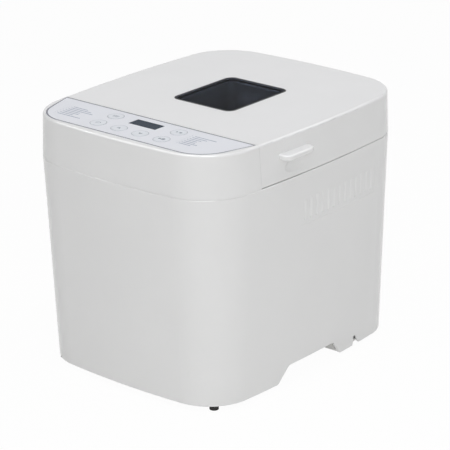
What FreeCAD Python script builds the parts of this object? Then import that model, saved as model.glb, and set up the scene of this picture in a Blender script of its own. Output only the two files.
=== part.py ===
import FreeCAD, Part
import Sketcher
import math
import os

doc = FreeCAD.newDocument("BreadMachine")

# Driving dimensions in millimetres. X runs to the right, Y to the back, Z up from the worktop.
SIZES = {
    # Housing outline: a bowed rectangle, widest at the seam under the lid.
    "case_width": 274.0,
    "case_depth": 339.0,
    "corner_radius": 60.0,
    "side_bow": 1485.0,
    "end_bow": 883.0,
    "total_height": 281.0,
    "lid_height": 46.7,
    "rim_height": 5.0,
    "base_inset": 8.0,
    "base_shift": 3.3,
    "top_inset": 1.6,
    "top_round": 3.0,
    "wall": 2.5,
    "top_wall": 3.0,
    "lid_gap": 0.6,
    "seam_rise": 0.6,
    "seam_bevel": 0.8,
    "console_gap": 0.3,
    "fit": 0.3,
    "running_fit": 0.05,
    "free_gap": 1.5,
    "seat_gap": 0.9,
    # Split between the fixed console and the lid.
    "console_depth": 75.1,
    "split_rake": 2.4,
    "split_gap": 0.25,
    # Grip recesses in the lower side walls, and the cord notch behind the right one.
    "grip_length": 77.0,
    "grip_centre": -1.5,
    "grip_front_slope": 17.0,
    "grip_rear_slope": 12.0,
    "grip_height": 22.0,
    "grip_reach": 32.0,
    "grip_round": 6.5,
    "notch_start": 74.0,
    "notch_length": 15.0,
    "notch_height": 16.0,
    "notch_roof": 3.0,
    # Louvred vents in both side walls.
    "vent_pitch": 9.9,
    "vent_slot": 3.8,
    "vent_slit": 1.0,
    "vent_depth": 1.5,
    "vent_height": 33.0,
    "vent_margin": 5.0,
    "vent_setback": 1.0,
    "vent_drop": 41.0,
    "vent_sink": 0.4,
    "vent_reach": 24.0,
    # Base plate, feet and cord gland.
    "plate_lift": 2.0,
    "foot_radius": 4.9,
    "foot_offset": 32.75,
    "foot_stud": 2.0,
    "boss_radius": 7.0,
    "gland_margin": 17.0,
    "gland_height": 27.0,
    "gland_radius": 6.0,
    "gland_flange": 2.5,
    # Control panel.
    "overlay_margin": 7.5,
    "overlay_depth": 64.6,
    "overlay_corner": 40.0,
    "overlay_front_margin": 56.0,
    "overlay_setback": 0.7,
    "overlay_gauge": 0.5,
    "lens_width": 36.0,
    "lens_depth": 15.3,
    "lens_setback": 19.0,
    "lens_gauge": 1.1,
    "display_rim": 2.2,
    "key_radius": 8.2,
    "key_pitch": 28.7,
    "key_row_back": 18.2,
    "key_row_pitch": 26.7,
    "key_stand": 0.2,
    "key_round": 0.15,
    "key_flange": 1.5,
    "key_flange_gauge": 2.5,
    "key_stem": 3.0,
    "key_travel": 0.8,
    "board_drop": 15.0,
    "board_gauge": 1.6,
    "board_width": 140.0,
    "board_depth": 50.0,
    "board_setback": 6.0,
    "post_radius": 3.5,
    "post_inset": 6.0,
    "switch_side": 6.0,
    "switch_height": 3.5,
    # Lid window.
    "window_width": 82.6,
    "window_depth": 100.6,
    "window_corner": 10.0,
    "window_setback": 65.5,
    "glass_gauge": 3.2,
    "gasket_lap": 5.0,
    "gasket_gauge": 2.0,
    "well_wall": 2.0,
    "well_lip": 4.0,
    "liner_gauge": 1.2,
    "liner_lift": 1.0,
    "liner_relief": 6.8,
    # Finger tab and scoop on the right side of the lid.
    "tab_length": 46.0,
    "tab_reach": 10.6,
    "tab_gauge": 6.0,
    "tab_setback": 52.0,
    "tab_drop": 19.5,
    "tab_corner": 8.0,
    "tab_round": 2.0,
    "scoop_depth": 1.7,
    "scoop_backing": 4.5,
    "scoop_height": 21.0,
    "scoop_reach": 8.0,
    # Lid hinges at the back.
    "hinge_spread": 46.0,
    "hinge_barrel": 4.5,
    "hinge_pin": 2.0,
    "hinge_inset": 1.3,
    "hinge_rise": 2.9,
    "knuckle_width": 16.0,
    "ear_width": 8.0,
    "ear_play": 0.6,
    "hinge_block": 16.0,
    "hinge_drop": 20.0,
    "hinge_arm": 5.0,
    # Oven.
    "oven_front_margin": 22.4,
    "oven_rear_margin": 41.5,
    "oven_width": 196.0,
    "oven_corner": 36.0,
    "oven_round": 10.0,
    "oven_gauge": 1.0,
    "oven_flange": 8.0,
    "oven_lift": 10.0,
    "deck_drop": 1.5,
    "deck_gauge": 3.0,
    "deck_tuck": 7.0,
    "shield_gap": 5.0,
    "shield_width": 170.0,
    "shield_drop": 39.3,
    "element_radius": 3.25,
    "element_rise": 36.0,
    "element_gap": 7.0,
    "element_leg": 13.0,
    "element_tail": 11.0,
    "element_bend": 5.0,
    "element_corner": 34.0,
    "bush_radius": 6.0,
    "bush_length": 8.0,
    "bush_stand": 5.6,
    "sensor_radius": 3.0,
    "sensor_length": 15.0,
    "sensor_place": 45.0,
    "sensor_rise": 60.0,
    # Bread pan and its seat.
    "pan_width": 136.0,
    "pan_margin": 22.0,
    "pan_corner": 26.0,
    "pan_draft": 4.0,
    "pan_gauge": 1.8,
    "pan_rim": 4.0,
    "pan_round": 9.0,
    "rim_round": 0.8,
    "pan_lift": 25.0,
    "pan_drop": 32.8,
    "ring_radius": 35.0,
    "ring_wall": 4.0,
    "lug_reach": 4.3,
    "lug_width": 7.5,
    "lug_height": 4.0,
    "lug_rise": 3.0,
    "seat_gauge": 1.7,
    "seat_wall": 3.0,
    "seat_flange": 8.0,
    "bail_wire": 2.25,
    "bail_corner": 38.0,
    "bail_bend": 5.0,
    "bail_ear": 2.0,
    "bail_rise": 1.5,
    "ear_height": 8.5,
    "ear_length": 12.0,
    "ear_tip": 7.2,
    # Shafts, coupling and paddle.
    "drive_radius": 5.0,
    "bearing_radius": 7.0,
    "housing_radius": 13.0,
    "housing_flange": 32.0,
    "flange_gauge": 3.0,
    "coupling_radius": 17.0,
    "coupling_gauge": 5.0,
    "dog_width": 5.0,
    "dog_height": 7.0,
    "pan_shaft_radius": 4.0,
    "pan_bush_radius": 8.0,
    "pan_bush_length": 22.0,
    "seal_height": 3.0,
    "shaft_rise": 36.0,
    "paddle_hub": 9.5,
    "paddle_neck": 7.6,
    "paddle_reach": 37.0,
    "paddle_tip": 33.3,
    "paddle_gauge": 5.0,
    "paddle_height": 38.0,
    "paddle_shoulder": 22.8,
    # Chassis, motor and belt.
    "chassis_lift": 28.5,
    "chassis_gauge": 2.0,
    "chassis_width": 188.0,
    "chassis_margin": 10.0,
    "chassis_tongue": 80.0,
    "chassis_lap": 14.0,
    "belt_lift": 14.5,
    "belt_width": 8.0,
    "belt_gauge": 1.6,
    "pulley_flange": 1.5,
    "pulley_rim": 2.5,
    "large_pulley": 50.0,
    "small_pulley": 10.0,
    "motor_setback": 51.5,
    "motor_side": 70.0,
    "motor_corner": 14.0,
    "motor_lift": 22.0,
    "stack_height": 30.0,
    "bore_radius": 20.0,
    "winding_radius": 31.0,
    "winding_height": 9.0,
    "cap_radius": 34.0,
    "cap_gauge": 2.5,
    "motor_shaft": 4.0,
    "bolt_radius": 2.5,
    "bolt_spread": 27.5,
    "capacitor_radius": 15.0,
    "capacitor_height": 52.0,
    "capacitor_margin": 61.0,
    # Power board.
    "power_board_width": 52.0,
    "power_board_depth": 40.0,
    "power_board_margin": 64.0,
    "power_board_lift": 6.0,
    "transformer_side": 24.0,
    "relay_side": 14.0,
}
VENT_COUNT = 13
LUG_COUNT = 3

sheet = doc.addObject("Spreadsheet::Sheet", "Sizes")
for row, (alias, number) in enumerate(SIZES.items(), start=1):
    sheet.set(f"A{row}", alias)
    sheet.set(f"B{row}", str(number))
    sheet.setAlias(f"B{row}", alias)
doc.recompute()


class Size:
    """A length that carries its number and the sheet formula that gives it."""

    def __init__(self, number, formula):
        self.number = number
        self.formula = formula

    def __add__(self, other):
        other = as_size(other)
        return Size(self.number + other.number, f"({self.formula} + {other.formula})")

    def __sub__(self, other):
        other = as_size(other)
        return Size(self.number - other.number, f"({self.formula} - {other.formula})")

    def __mul__(self, other):
        other = as_size(other)
        return Size(self.number * other.number, f"({self.formula} * {other.formula})")

    def __truediv__(self, other):
        other = as_size(other)
        return Size(self.number / other.number, f"({self.formula} / {other.formula})")

    def __radd__(self, other):
        return as_size(other) + self

    def __rsub__(self, other):
        return as_size(other) - self

    def __rmul__(self, other):
        return as_size(other) * self

    def __neg__(self):
        return as_size(0.0) - self

    def root(self):
        return Size(math.sqrt(self.number), f"sqrt({self.formula})")

    def angle(self):
        """The angle in degrees whose tangent this is."""
        return Size(math.degrees(math.atan(self.number)), f"(atan({self.formula}) / 1 deg)")


class Sheet:
    """Gives each cell of the spreadsheet as a Size."""

    def __getattr__(self, alias):
        return Size(SIZES[alias], f"Sizes.{alias}")


def as_size(value):
    return value if isinstance(value, Size) else Size(float(value), f"{float(value):.6f}")


def bind(thing, path, value):
    thing.setExpression(path, as_size(value).formula)


S = Sheet()


def add_cell(alias, value):
    """A further cell of the sheet, whose number follows from the driving ones."""
    row = len(SIZES) + 1
    SIZES[alias] = value.number
    sheet.set(f"A{row}", alias)
    sheet.set(f"B{row}", "=" + value.formula.replace("Sizes.", ""))
    sheet.setAlias(f"B{row}", alias)
    return Size(value.number, f"Sizes.{alias}")


# Levels and lines that several pieces share.
half_width = S.case_width / 2
half_depth = S.case_depth / 2
split_top = S.console_depth - half_depth
add_cell("seam_height", S.total_height - S.lid_height)
add_cell("oven_depth", S.case_depth - S.console_depth - S.oven_front_margin - S.oven_rear_margin)
add_cell("pan_depth", S.oven_depth - S.pan_margin * 2)
# Centre of the rear right corner arc, which touches the side bow and the end bow from inside.
side_centre = half_width - S.side_bow
end_centre = half_depth - S.end_bow
side_reach = S.side_bow - S.corner_radius
end_reach = S.end_bow - S.corner_radius
bow_spacing = add_cell("bow_spacing", (side_centre * side_centre + end_centre * end_centre).root())
reach_excess = side_reach * side_reach - end_reach * end_reach
bow_along = add_cell("bow_along", (reach_excess / bow_spacing + bow_spacing) / 2)
bow_across = add_cell("bow_across", (side_reach * side_reach - bow_along * bow_along).root())
corner_x = add_cell(
    "corner_x", side_centre - (bow_along * side_centre + bow_across * end_centre) / bow_spacing
)
corner_y = add_cell("corner_y", (bow_along * end_centre - bow_across * side_centre) / bow_spacing)
gland_place = corner_x - S.gland_margin
capacitor_place = half_width - S.capacitor_margin
power_board_place = half_width - S.power_board_margin
split_seam = split_top + S.split_rake
lid_bottom = S.seam_height + S.lid_gap
lid_ceiling = S.total_height - S.top_wall
plate_bottom = S.rim_height + S.plate_lift
plate_top = plate_bottom + S.wall
belt_level = plate_top + S.belt_lift
chassis_bottom = plate_top + S.chassis_lift
chassis_top = chassis_bottom + S.chassis_gauge
oven_bottom = chassis_top + S.oven_lift
oven_floor = oven_bottom + S.oven_gauge
deck_top = S.seam_height - S.deck_drop
deck_bottom = deck_top - S.deck_gauge
oven_middle = split_top + S.oven_front_margin + S.oven_depth / 2
oven_half_width = S.oven_width / 2
oven_half_depth = S.oven_depth / 2
oven_front = oven_middle - oven_half_depth
pan_bottom = oven_floor + S.pan_lift
pan_floor = pan_bottom + S.pan_gauge
pan_top = deck_top - S.pan_drop
motor_middle = S.motor_setback - half_depth
motor_bottom = chassis_top + S.motor_lift
motor_top = motor_bottom + S.stack_height
hinge_y = half_depth - S.hinge_inset
hinge_z = lid_bottom + S.hinge_rise
window_front = split_top + S.window_setback
window_back = window_front + S.window_depth
board_top = S.total_height - S.board_drop
board_back = split_top - S.board_setback
key_row_back = split_top - S.key_row_back
key_row_front = key_row_back - S.key_row_pitch
lens_middle = split_top - S.lens_setback
gasket_bottom = S.total_height - S.glass_gauge - S.gasket_gauge
liner_bottom = lid_bottom + S.liner_lift
liner_top = liner_bottom + S.liner_gauge
seat_top = oven_floor + S.seat_gauge
ring_bottom = seat_top + S.fit
lug_bottom = ring_bottom + S.lug_rise
lug_top = lug_bottom + S.lug_height
shaft_top = oven_floor + S.pan_lift / 2
dog_top = shaft_top + S.dog_height
bush_bottom = pan_bottom - S.ring_wall - S.free_gap
bush_top = bush_bottom + S.pan_bush_length
seal_top = bush_top + S.seal_height
pan_shaft_top = pan_floor + S.shaft_rise
bail_level = pan_top + S.bail_rise + S.bail_wire
element_level = oven_floor + S.element_rise
sensor_level = oven_floor + S.sensor_rise
tab_top = S.total_height - S.tab_drop + S.tab_gauge / 2
tab_bottom = tab_top - S.tab_gauge
tab_middle = split_top + S.tab_setback
# The finger tab stands out on the right only, so the frame's origin is moved under the box's middle.
frame_shift = -(S.tab_reach / 2)

Z_AXIS = FreeCAD.Vector(0, 0, 1)
NEAR = 0.01
START = 1
END = 2
CENTRE = 3
ORIGIN = -1
PIECES = []


def point(x, y):
    return FreeCAD.Vector(as_size(x).number, as_size(y).number, 0)


class Profile:
    """A sketch on one origin plane of its body, lifted along that plane's normal."""

    def __init__(self, body, name, plane="XY_Plane", lift=0.0):
        self.sketch = body.newObject("Sketcher::SketchObject", name)
        self.sketch.AttachmentSupport = [(origin_plane(body, plane), "")]
        self.sketch.MapMode = "FlatFace"
        bind(self.sketch, "AttachmentOffset.Base.z", lift)
        self.constraints = []
        self.formulas = {}

    def drive(self, constraint, value):
        self.formulas[len(self.constraints)] = value
        self.constraints.append(constraint)

    def done(self):
        """Adds the collected constraints in one go and ties their sizes to the sheet."""
        self.sketch.addConstraint(self.constraints)
        for index, value in self.formulas.items():
            bind(self.sketch, f"Constraints[{index}]", value)
        return self.sketch

    def fix(self, geometry, spot, x, y):
        x = as_size(x)
        y = as_size(y)
        self.drive(Sketcher.Constraint("DistanceX", ORIGIN, START, geometry, spot, x.number), x)
        self.drive(Sketcher.Constraint("DistanceY", ORIGIN, START, geometry, spot, y.number), y)

    def line(self, first, last):
        return self.sketch.addGeometry(Part.LineSegment(point(*first), point(*last)))

    def arc(self, x, y, radius, start, end):
        """An arc about a fixed centre, between two angles in degrees."""
        circle = Part.Circle(point(x, y), Z_AXIS, as_size(radius).number)
        arc = Part.ArcOfCircle(circle, math.radians(start), math.radians(end))
        geometry = self.sketch.addGeometry(arc)
        self.fix(geometry, CENTRE, x, y)
        self.radius(geometry, radius)
        return geometry

    def radius(self, geometry, radius):
        self.drive(Sketcher.Constraint("Radius", geometry, as_size(radius).number), radius)

    def smooth(self, first, first_spot, last, last_spot):
        self.constraints.append(Sketcher.Constraint("Tangent", first, first_spot, last, last_spot))

    def circle(self, x, y, radius):
        geometry = self.sketch.addGeometry(Part.Circle(point(x, y), Z_AXIS, as_size(radius).number))
        self.fix(geometry, CENTRE, x, y)
        self.radius(geometry, radius)

    def polygon(self, corners):
        following = corners[1:] + corners[:1]
        lines = [self.line(first, last) for first, last in zip(corners, following)]
        for before, line in zip(lines[-1:] + lines[:-1], lines):
            self.meet(before, END, line, START)
        for line, corner in zip(lines, corners):
            self.fix(line, START, *corner)

    def rectangle(self, left, front, right, back):
        self.polygon([(left, front), (right, front), (right, back), (left, back)])

    def block(self, x, y, width, depth):
        """A rectangle about its own centre."""
        self.rectangle(x - width / 2, y - depth / 2, x + width / 2, y + depth / 2)

    def rounded(self, left, front, right, back, radius):
        """A rectangle with equal round corners."""
        near_left = left + radius
        near_front = front + radius
        near_right = right - radius
        near_back = back - radius
        arcs = [
            self.arc(near_right, near_front, radius, -90, 0),
            self.arc(near_right, near_back, radius, 0, 90),
            self.arc(near_left, near_back, radius, 90, 180),
            self.arc(near_left, near_front, radius, 180, 270),
        ]
        lines = [
            self.line((right, near_front), (right, near_back)),
            self.line((near_right, back), (near_left, back)),
            self.line((left, near_back), (left, near_front)),
            self.line((near_left, front), (near_right, front)),
        ]
        for arc, line, following in zip(arcs, lines, arcs[1:] + arcs[:1]):
            self.smooth(arc, END, line, START)
            self.smooth(line, END, following, START)

    def rounded_block(self, x, y, width, depth, radius):
        self.rounded(x - width / 2, y - depth / 2, x + width / 2, y + depth / 2, radius)

    def housing(self, inset, shift):
        """The housing's outline of eight tangent arcs, moved in by an inset and back by a shift."""
        inset = as_size(inset)
        shift = as_size(shift)
        right = corner_x.number
        side_angle = math.degrees(math.atan2(corner_y.number, right - side_centre.number))
        end_angle = math.degrees(math.atan2(corner_y.number - end_centre.number, right))
        side_radius = S.side_bow - inset
        end_radius = S.end_bow - inset
        corner_radius = S.corner_radius - inset
        back = shift.number + corner_y.number
        front = shift.number - corner_y.number
        arcs = [
            self.arc(side_centre, shift, side_radius, -side_angle, side_angle),
            self.free_arc(right, back, corner_radius, side_angle, end_angle),
            self.arc(0.0, shift + end_centre, end_radius, end_angle, 180 - end_angle),
            self.free_arc(-right, back, corner_radius, 180 - end_angle, 180 - side_angle),
            self.arc(-side_centre, shift, side_radius, 180 - side_angle, 180 + side_angle),
            self.free_arc(-right, front, corner_radius, 180 + side_angle, 180 + end_angle),
            self.arc(0.0, shift - end_centre, end_radius, 180 + end_angle, 360 - end_angle),
            self.free_arc(right, front, corner_radius, 360 - end_angle, 360 - side_angle),
        ]
        for arc, following in zip(arcs, arcs[1:] + arcs[:1]):
            self.smooth(arc, END, following, START)

    def tongue(self, left, front, right, back, radius):
        """A rectangle whose two right-hand corners are round."""
        near_right = right - radius
        near_front = front + radius
        near_back = back - radius
        front_arc = self.arc(near_right, near_front, radius, -90, 0)
        back_arc = self.arc(near_right, near_back, radius, 0, 90)
        front_line = self.line((left, front), (near_right, front))
        tip_line = self.line((right, near_front), (right, near_back))
        back_line = self.line((near_right, back), (left, back))
        root_line = self.line((left, back), (left, front))
        self.smooth(front_line, END, front_arc, START)
        self.smooth(front_arc, END, tip_line, START)
        self.smooth(tip_line, END, back_arc, START)
        self.smooth(back_arc, END, back_line, START)
        self.meet(back_line, END, root_line, START)
        self.meet(root_line, END, front_line, START)
        self.fix(front_line, START, left, front)
        self.fix(back_line, END, left, back)

    def overlay(self, margin):
        """The control panel's outline: straight back, leaning sides and a front with wide round corners."""
        back = split_top - S.overlay_setback + margin
        front = back - S.overlay_depth - margin * 2
        wide = half_width - S.overlay_margin + margin
        narrow = half_width - S.overlay_front_margin
        radius = S.overlay_corner + margin
        middle = front + radius
        rise = back.number - middle.number
        run = wide.number - narrow.number
        lean = math.atan2(rise, run) - math.acos(radius.number / math.hypot(rise, run))
        touch_x = narrow.number + radius.number * math.cos(lean)
        touch_y = middle.number + radius.number * math.sin(lean)
        tilt = math.degrees(lean)
        right_arc = self.arc(narrow, middle, radius, -90, tilt)
        left_arc = self.arc(-narrow, middle, radius, 180 - tilt, 270)
        back_line = self.line((-wide, back), (wide, back))
        right_line = self.line((wide, back), (touch_x, touch_y))
        front_line = self.line((narrow, front), (-narrow, front))
        left_line = self.line((-touch_x, touch_y), (-wide, back))
        self.meet(back_line, END, right_line, START)
        self.smooth(right_line, END, right_arc, END)
        self.smooth(right_arc, START, front_line, START)
        self.smooth(front_line, END, left_arc, END)
        self.smooth(left_arc, START, left_line, START)
        self.meet(left_line, END, back_line, START)
        self.fix(back_line, START, -wide, back)
        self.fix(back_line, END, wide, back)

    def meet(self, first, first_spot, last, last_spot):
        self.constraints.append(Sketcher.Constraint("Coincident", first, first_spot, last, last_spot))

    def free_arc(self, x, y, radius, start, end):
        """An arc whose centre follows from the arcs that it is tangent to."""
        circle = Part.Circle(FreeCAD.Vector(x, y, 0), Z_AXIS, radius.number)
        geometry = self.sketch.addGeometry(Part.ArcOfCircle(circle, math.radians(start), math.radians(end)))
        self.radius(geometry, radius)
        return geometry


def new_body(label, y=0.0):
    """A sub-part, built about its own axis and placed along the machine's middle plane."""
    body = doc.addObject("PartDesign::Body", label)
    body.Label = label
    body.AllowCompound = True
    bind(body, "Placement.Base.x", frame_shift)
    bind(body, "Placement.Base.y", y)
    PIECES.append(body)
    return body


def tool_body(label):
    """A block that other pieces are cut from."""
    body = doc.addObject("PartDesign::Body", label)
    body.Label = label
    return body


def join(kind, name, base, tool):
    result = doc.addObject(kind, name)
    result.Base = base
    result.Tool = tool
    return result


def pad(body, name, profile, length, reverse=False):
    feature = body.newObject("PartDesign::Pad", name)
    feature.Profile = profile.done()
    feature.Reversed = reverse
    bind(feature, "Length", length)
    return feature


def pocket(body, name, profile, length, reverse=False):
    feature = body.newObject("PartDesign::Pocket", name)
    feature.Profile = profile.done()
    feature.Reversed = reverse
    bind(feature, "Length", length)
    return feature


def revolve(body, name, profile, axis="V_Axis"):
    feature = body.newObject("PartDesign::Revolution", name)
    feature.Profile = profile.done()
    feature.ReferenceAxis = (profile.sketch, [axis])
    feature.Angle = 360
    return feature


def loft(body, name, sections, kind="PartDesign::AdditiveLoft"):
    feature = body.newObject(kind, name)
    feature.Profile = sections[0].done()
    feature.Sections = [section.done() for section in sections[1:]]
    feature.Ruled = True
    return feature


def pipe(body, name, profile, spine):
    feature = body.newObject("PartDesign::AdditivePipe", name)
    feature.Profile = profile.done()
    feature.Spine = (spine.done(), [])
    return feature


def fillet(body, name, base, edge_test, radius):
    """Rounds the edges of the last feature that pass a test."""
    doc.recompute()
    names = [f"Edge{index}" for index, edge in enumerate(base.Shape.Edges, start=1) if edge_test(edge)]
    if not names:
        raise RuntimeError(f"{name} found no edges")
    feature = body.newObject("PartDesign::Fillet", name)
    feature.Base = (base, names)
    bind(feature, "Radius", radius)
    return feature


def housing_loft(body, name, levels, kind="PartDesign::AdditiveLoft"):
    """A loft between housing outlines, each given as its level, inset and shift."""
    sections = []
    for index, (level, inset, shift) in enumerate(levels):
        section = Profile(body, f"{name}_{index}", lift=level)
        section.housing(inset, shift)
        sections.append(section)
    return loft(body, name, sections, kind)


def near(value, target):
    return abs(value - target) < NEAR


def edges_at(level):
    """A test for edges that lie flat at one level."""
    return lambda edge: near(edge.BoundBox.ZMin, level.number) and near(edge.BoundBox.ZMax, level.number)


def runs_along_x(edge):
    box = edge.BoundBox
    return box.YLength < NEAR and box.ZLength < NEAR


def case_levels(inset):
    """The case's outlines at its rim and at the seam, moved in by an inset."""
    return [
        (S.rim_height, S.base_inset + inset, S.base_shift),
        (S.seam_height, inset, as_size(0.0)),
    ]


def outer_case():
    body = new_body("outer_case")
    beyond = half_width + S.vent_reach
    field_length = S.vent_pitch * VENT_COUNT + S.vent_margin
    field_top = S.seam_height - S.vent_drop + S.vent_height / 2
    field_back = corner_y - S.vent_setback
    foot_level, _ = case_levels(as_size(0.0))
    bevel_foot = S.seam_height - S.seam_bevel
    bevel_share = S.seam_bevel / (S.seam_height - S.rim_height)
    housing_loft(body, "case_block", [
        foot_level,
        (bevel_foot, S.base_inset * bevel_share, S.base_shift * bevel_share),
        (S.seam_height, S.seam_bevel, as_size(0.0)),
    ])
    field = Profile(body, "vent_field", "YZ_Plane", beyond)
    field.rectangle(field_back - field_length, field_top - S.vent_height, field_back, field_top)
    pocket(body, "vent_field_cut", field, beyond * 2)
    housing_loft(body, "vent_field_floor", case_levels(S.vent_sink))
    housing_loft(body, "case_hollow", case_levels(S.wall), "PartDesign::SubtractiveLoft")
    louvres(body, field_back - field_length + S.vent_margin, field_top - S.vent_margin)
    grip = grip_profile(body, "grip_cut", beyond, as_size(0.0), S.rim_height - S.wall)
    grips = pocket(body, "grip_cuts", grip, beyond * 2)
    fillet(body, "grip_corners", grips, is_grip_corner, S.grip_round)
    notch = Profile(body, "cord_notch", "YZ_Plane", beyond)
    notch_end = S.notch_start + S.notch_length
    below = S.rim_height - S.wall
    roof_start = S.notch_start + S.notch_roof / 2
    notch.polygon([
        (S.notch_start, below),
        (notch_end, below),
        (roof_start + S.notch_roof, S.notch_height),
        (roof_start, S.notch_height),
    ])
    pocket(body, "cord_notch_cut", notch, beyond)
    hinge_cuts = Profile(body, "hinge_cuts", "XZ_Plane", -(half_depth - S.hinge_block))
    for side in (-1, 1):
        hinge_cuts.rectangle(
            side * S.hinge_spread - hinge_width() / 2 - S.fit,
            S.seam_height - S.hinge_barrel * 2,
            side * S.hinge_spread + hinge_width() / 2 + S.fit,
            S.seam_height + S.wall,
        )
    hinge_cuts.circle(gland_place, S.gland_height, S.gland_radius + S.fit)
    pocket(body, "rear_cuts", hinge_cuts, S.hinge_block * 2)


def louvres(body, first, top):
    """Scoops that deepen towards the front, each with a slit that its front edge hides."""
    drop = S.seam_height - top
    fall = S.base_inset / (S.seam_height - S.rim_height)
    face = S.side_bow - S.vent_sink - drop * fall
    scoop = Profile(body, "louvre_scoop", lift=top)
    bind(scoop.sketch, "AttachmentOffset.Base.x", side_centre)
    scoop.polygon([
        (face + S.wall, first),
        (face - S.wall * 2, first),
        (face - S.wall * 2, first + S.vent_slit),
        (face - S.vent_depth, first + S.vent_slit),
        (face, first + S.vent_slot),
        (face + S.wall, first + S.vent_slot),
    ])
    cut = pocket(body, "louvre_cut", scoop, S.vent_height - S.vent_margin * 2)
    cut.UseCustomVector = True
    cut.Direction = FreeCAD.Vector(-fall.number, 0, -1)
    row = body.newObject("PartDesign::MultiTransform", "louvre_rows")
    row.Originals = [cut]
    pattern = body.newObject("PartDesign::PolarPattern", "louvre_row")
    pattern.Axis = (scoop.sketch, ["N_Axis"])
    pattern.Occurrences = VENT_COUNT
    bind(pattern, "Angle", (S.vent_pitch * (VENT_COUNT - 1) / S.side_bow).angle())
    mirror = body.newObject("PartDesign::Mirrored", "louvre_mirror")
    mirror.MirrorPlane = (origin_plane(body, "YZ_Plane"), [""])
    row.Transformations = [pattern, mirror]
    body.Tip = row


def origin_plane(body, role):
    return [feature for feature in body.Origin.OriginFeatures if feature.Role == role][0]


def grip_profile(body, name, lift, margin, bottom):
    """The grip recess seen from the side: a low trapezium, grown by a margin, down to a level."""
    profile = Profile(body, name, "YZ_Plane", lift)
    front = S.grip_centre - S.grip_length / 2 - margin
    back = S.grip_centre + S.grip_length / 2 + margin
    share = (S.grip_height - bottom) / (S.grip_height - S.rim_height)
    profile.polygon([
        (front - S.grip_front_slope * share, bottom),
        (back + S.grip_rear_slope * share, bottom),
        (back, S.grip_height + margin),
        (front, S.grip_height + margin),
    ])
    return profile


def is_grip_corner(edge):
    box = edge.BoundBox
    low = box.ZMax < SIZES["grip_height"] + SIZES["fit"]
    half = SIZES["grip_length"] / 2 + SIZES["fit"]
    front = SIZES["grip_centre"] - half - SIZES["grip_front_slope"]
    back = SIZES["grip_centre"] + half + SIZES["grip_rear_slope"]
    return runs_along_x(edge) and low and front < box.YMin < back


def hinge_width():
    """Overall width of one hinge: a lid knuckle between two ears, with play at both faces."""
    return S.knuckle_width + (S.ear_width + S.ear_play) * 2


def turned(label, y, corners, name="section"):
    """A round piece: a half section, given as radius and level, turned about the piece's own axis."""
    body = new_body(label, y)
    profile = Profile(body, f"{label}_{name}", "XZ_Plane")
    profile.polygon(corners)
    revolve(body, f"{label}_turn", profile)
    return body


def tube(inner, outer, bottom, top):
    return [(inner, bottom), (outer, bottom), (outer, top), (inner, top)]


def rod(radius, bottom, top):
    return tube(as_size(0.0), radius, bottom, top)


def base_plate():
    body = new_body("base_plate")
    edge = S.base_inset + S.wall + S.fit
    plate = Profile(body, "plate_outline", lift=plate_bottom)
    plate.housing(edge, S.base_shift)
    for x, y in foot_places().values():
        plate.circle(x, y, S.foot_stud + S.running_fit)
    pad(body, "plate", plate, S.wall)
    inner_end = half_width - S.base_inset - S.grip_reach
    outer_end = half_width - edge - S.free_gap
    roof = grip_profile(body, "grip_roof_section", inner_end - S.wall, S.wall, plate_bottom)
    roof_pad = pad(body, "grip_roof", roof, outer_end - inner_end + S.wall)
    mirror_over_middle(body, "grip_roofs", roof_pad)
    hollow = grip_profile(body, "grip_hollow_section", outer_end + S.wall, as_size(0.0), S.rim_height)
    hollow_cut = pocket(body, "grip_hollow", hollow, outer_end + S.wall - inner_end)
    mirror_over_middle(body, "grip_hollows", hollow_cut)
    bosses = Profile(body, "boss_circles", lift=plate_top)
    for x, y in chassis_corners():
        bosses.circle(x, y, S.boss_radius)
    pad(body, "bosses", bosses, chassis_bottom - plate_top)
    posts = Profile(body, "board_posts", lift=plate_top)
    for x, y in board_corners(-power_board_place, motor_middle, S.power_board_width, S.power_board_depth):
        posts.circle(x, y, S.post_radius)
    pad(body, "board_post_pads", posts, S.power_board_lift)


def mirror_over_middle(body, name, original):
    mirror = body.newObject("PartDesign::Mirrored", name)
    mirror.Originals = [original]
    mirror.MirrorPlane = (origin_plane(body, "YZ_Plane"), [""])
    body.Tip = mirror
    return mirror


def foot_places():
    """The feet stand outside the centres of the corner arcs by one offset both ways."""
    across = corner_x + S.foot_offset
    along = corner_y + S.foot_offset
    front = S.base_shift - along
    back = S.base_shift + along
    return {
        "front_left": (-across, front),
        "front_right": (across, front),
        "rear_left": (-across, back),
        "rear_right": (across, back),
    }


def chassis_corners():
    x = S.chassis_width / 2 - S.chassis_margin
    front = oven_front - S.chassis_lap + S.chassis_margin
    back = oven_middle + oven_half_depth - S.chassis_margin
    return [(side * x, y) for side in (-1, 1) for y in (front, back)]


def board_corners(x, y, width, depth):
    across = width / 2 - S.post_inset
    along = depth / 2 - S.post_inset
    return [(x + side * across, y + end * along) for side in (-1, 1) for end in (-1, 1)]


def rubber_feet():
    shoulder = S.rim_height - S.fit
    for name, (x, y) in foot_places().items():
        body = new_body(f"rubber_foot_{name}")
        disc = Profile(body, f"foot_{name}")
        disc.circle(x, y, S.foot_radius)
        pad(body, f"foot_disc_{name}", disc, shoulder)
        stud = Profile(body, f"stud_{name}", lift=shoulder)
        stud.circle(x, y, S.foot_stud)
        pad(body, f"foot_stud_{name}", stud, plate_top - shoulder)


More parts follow.
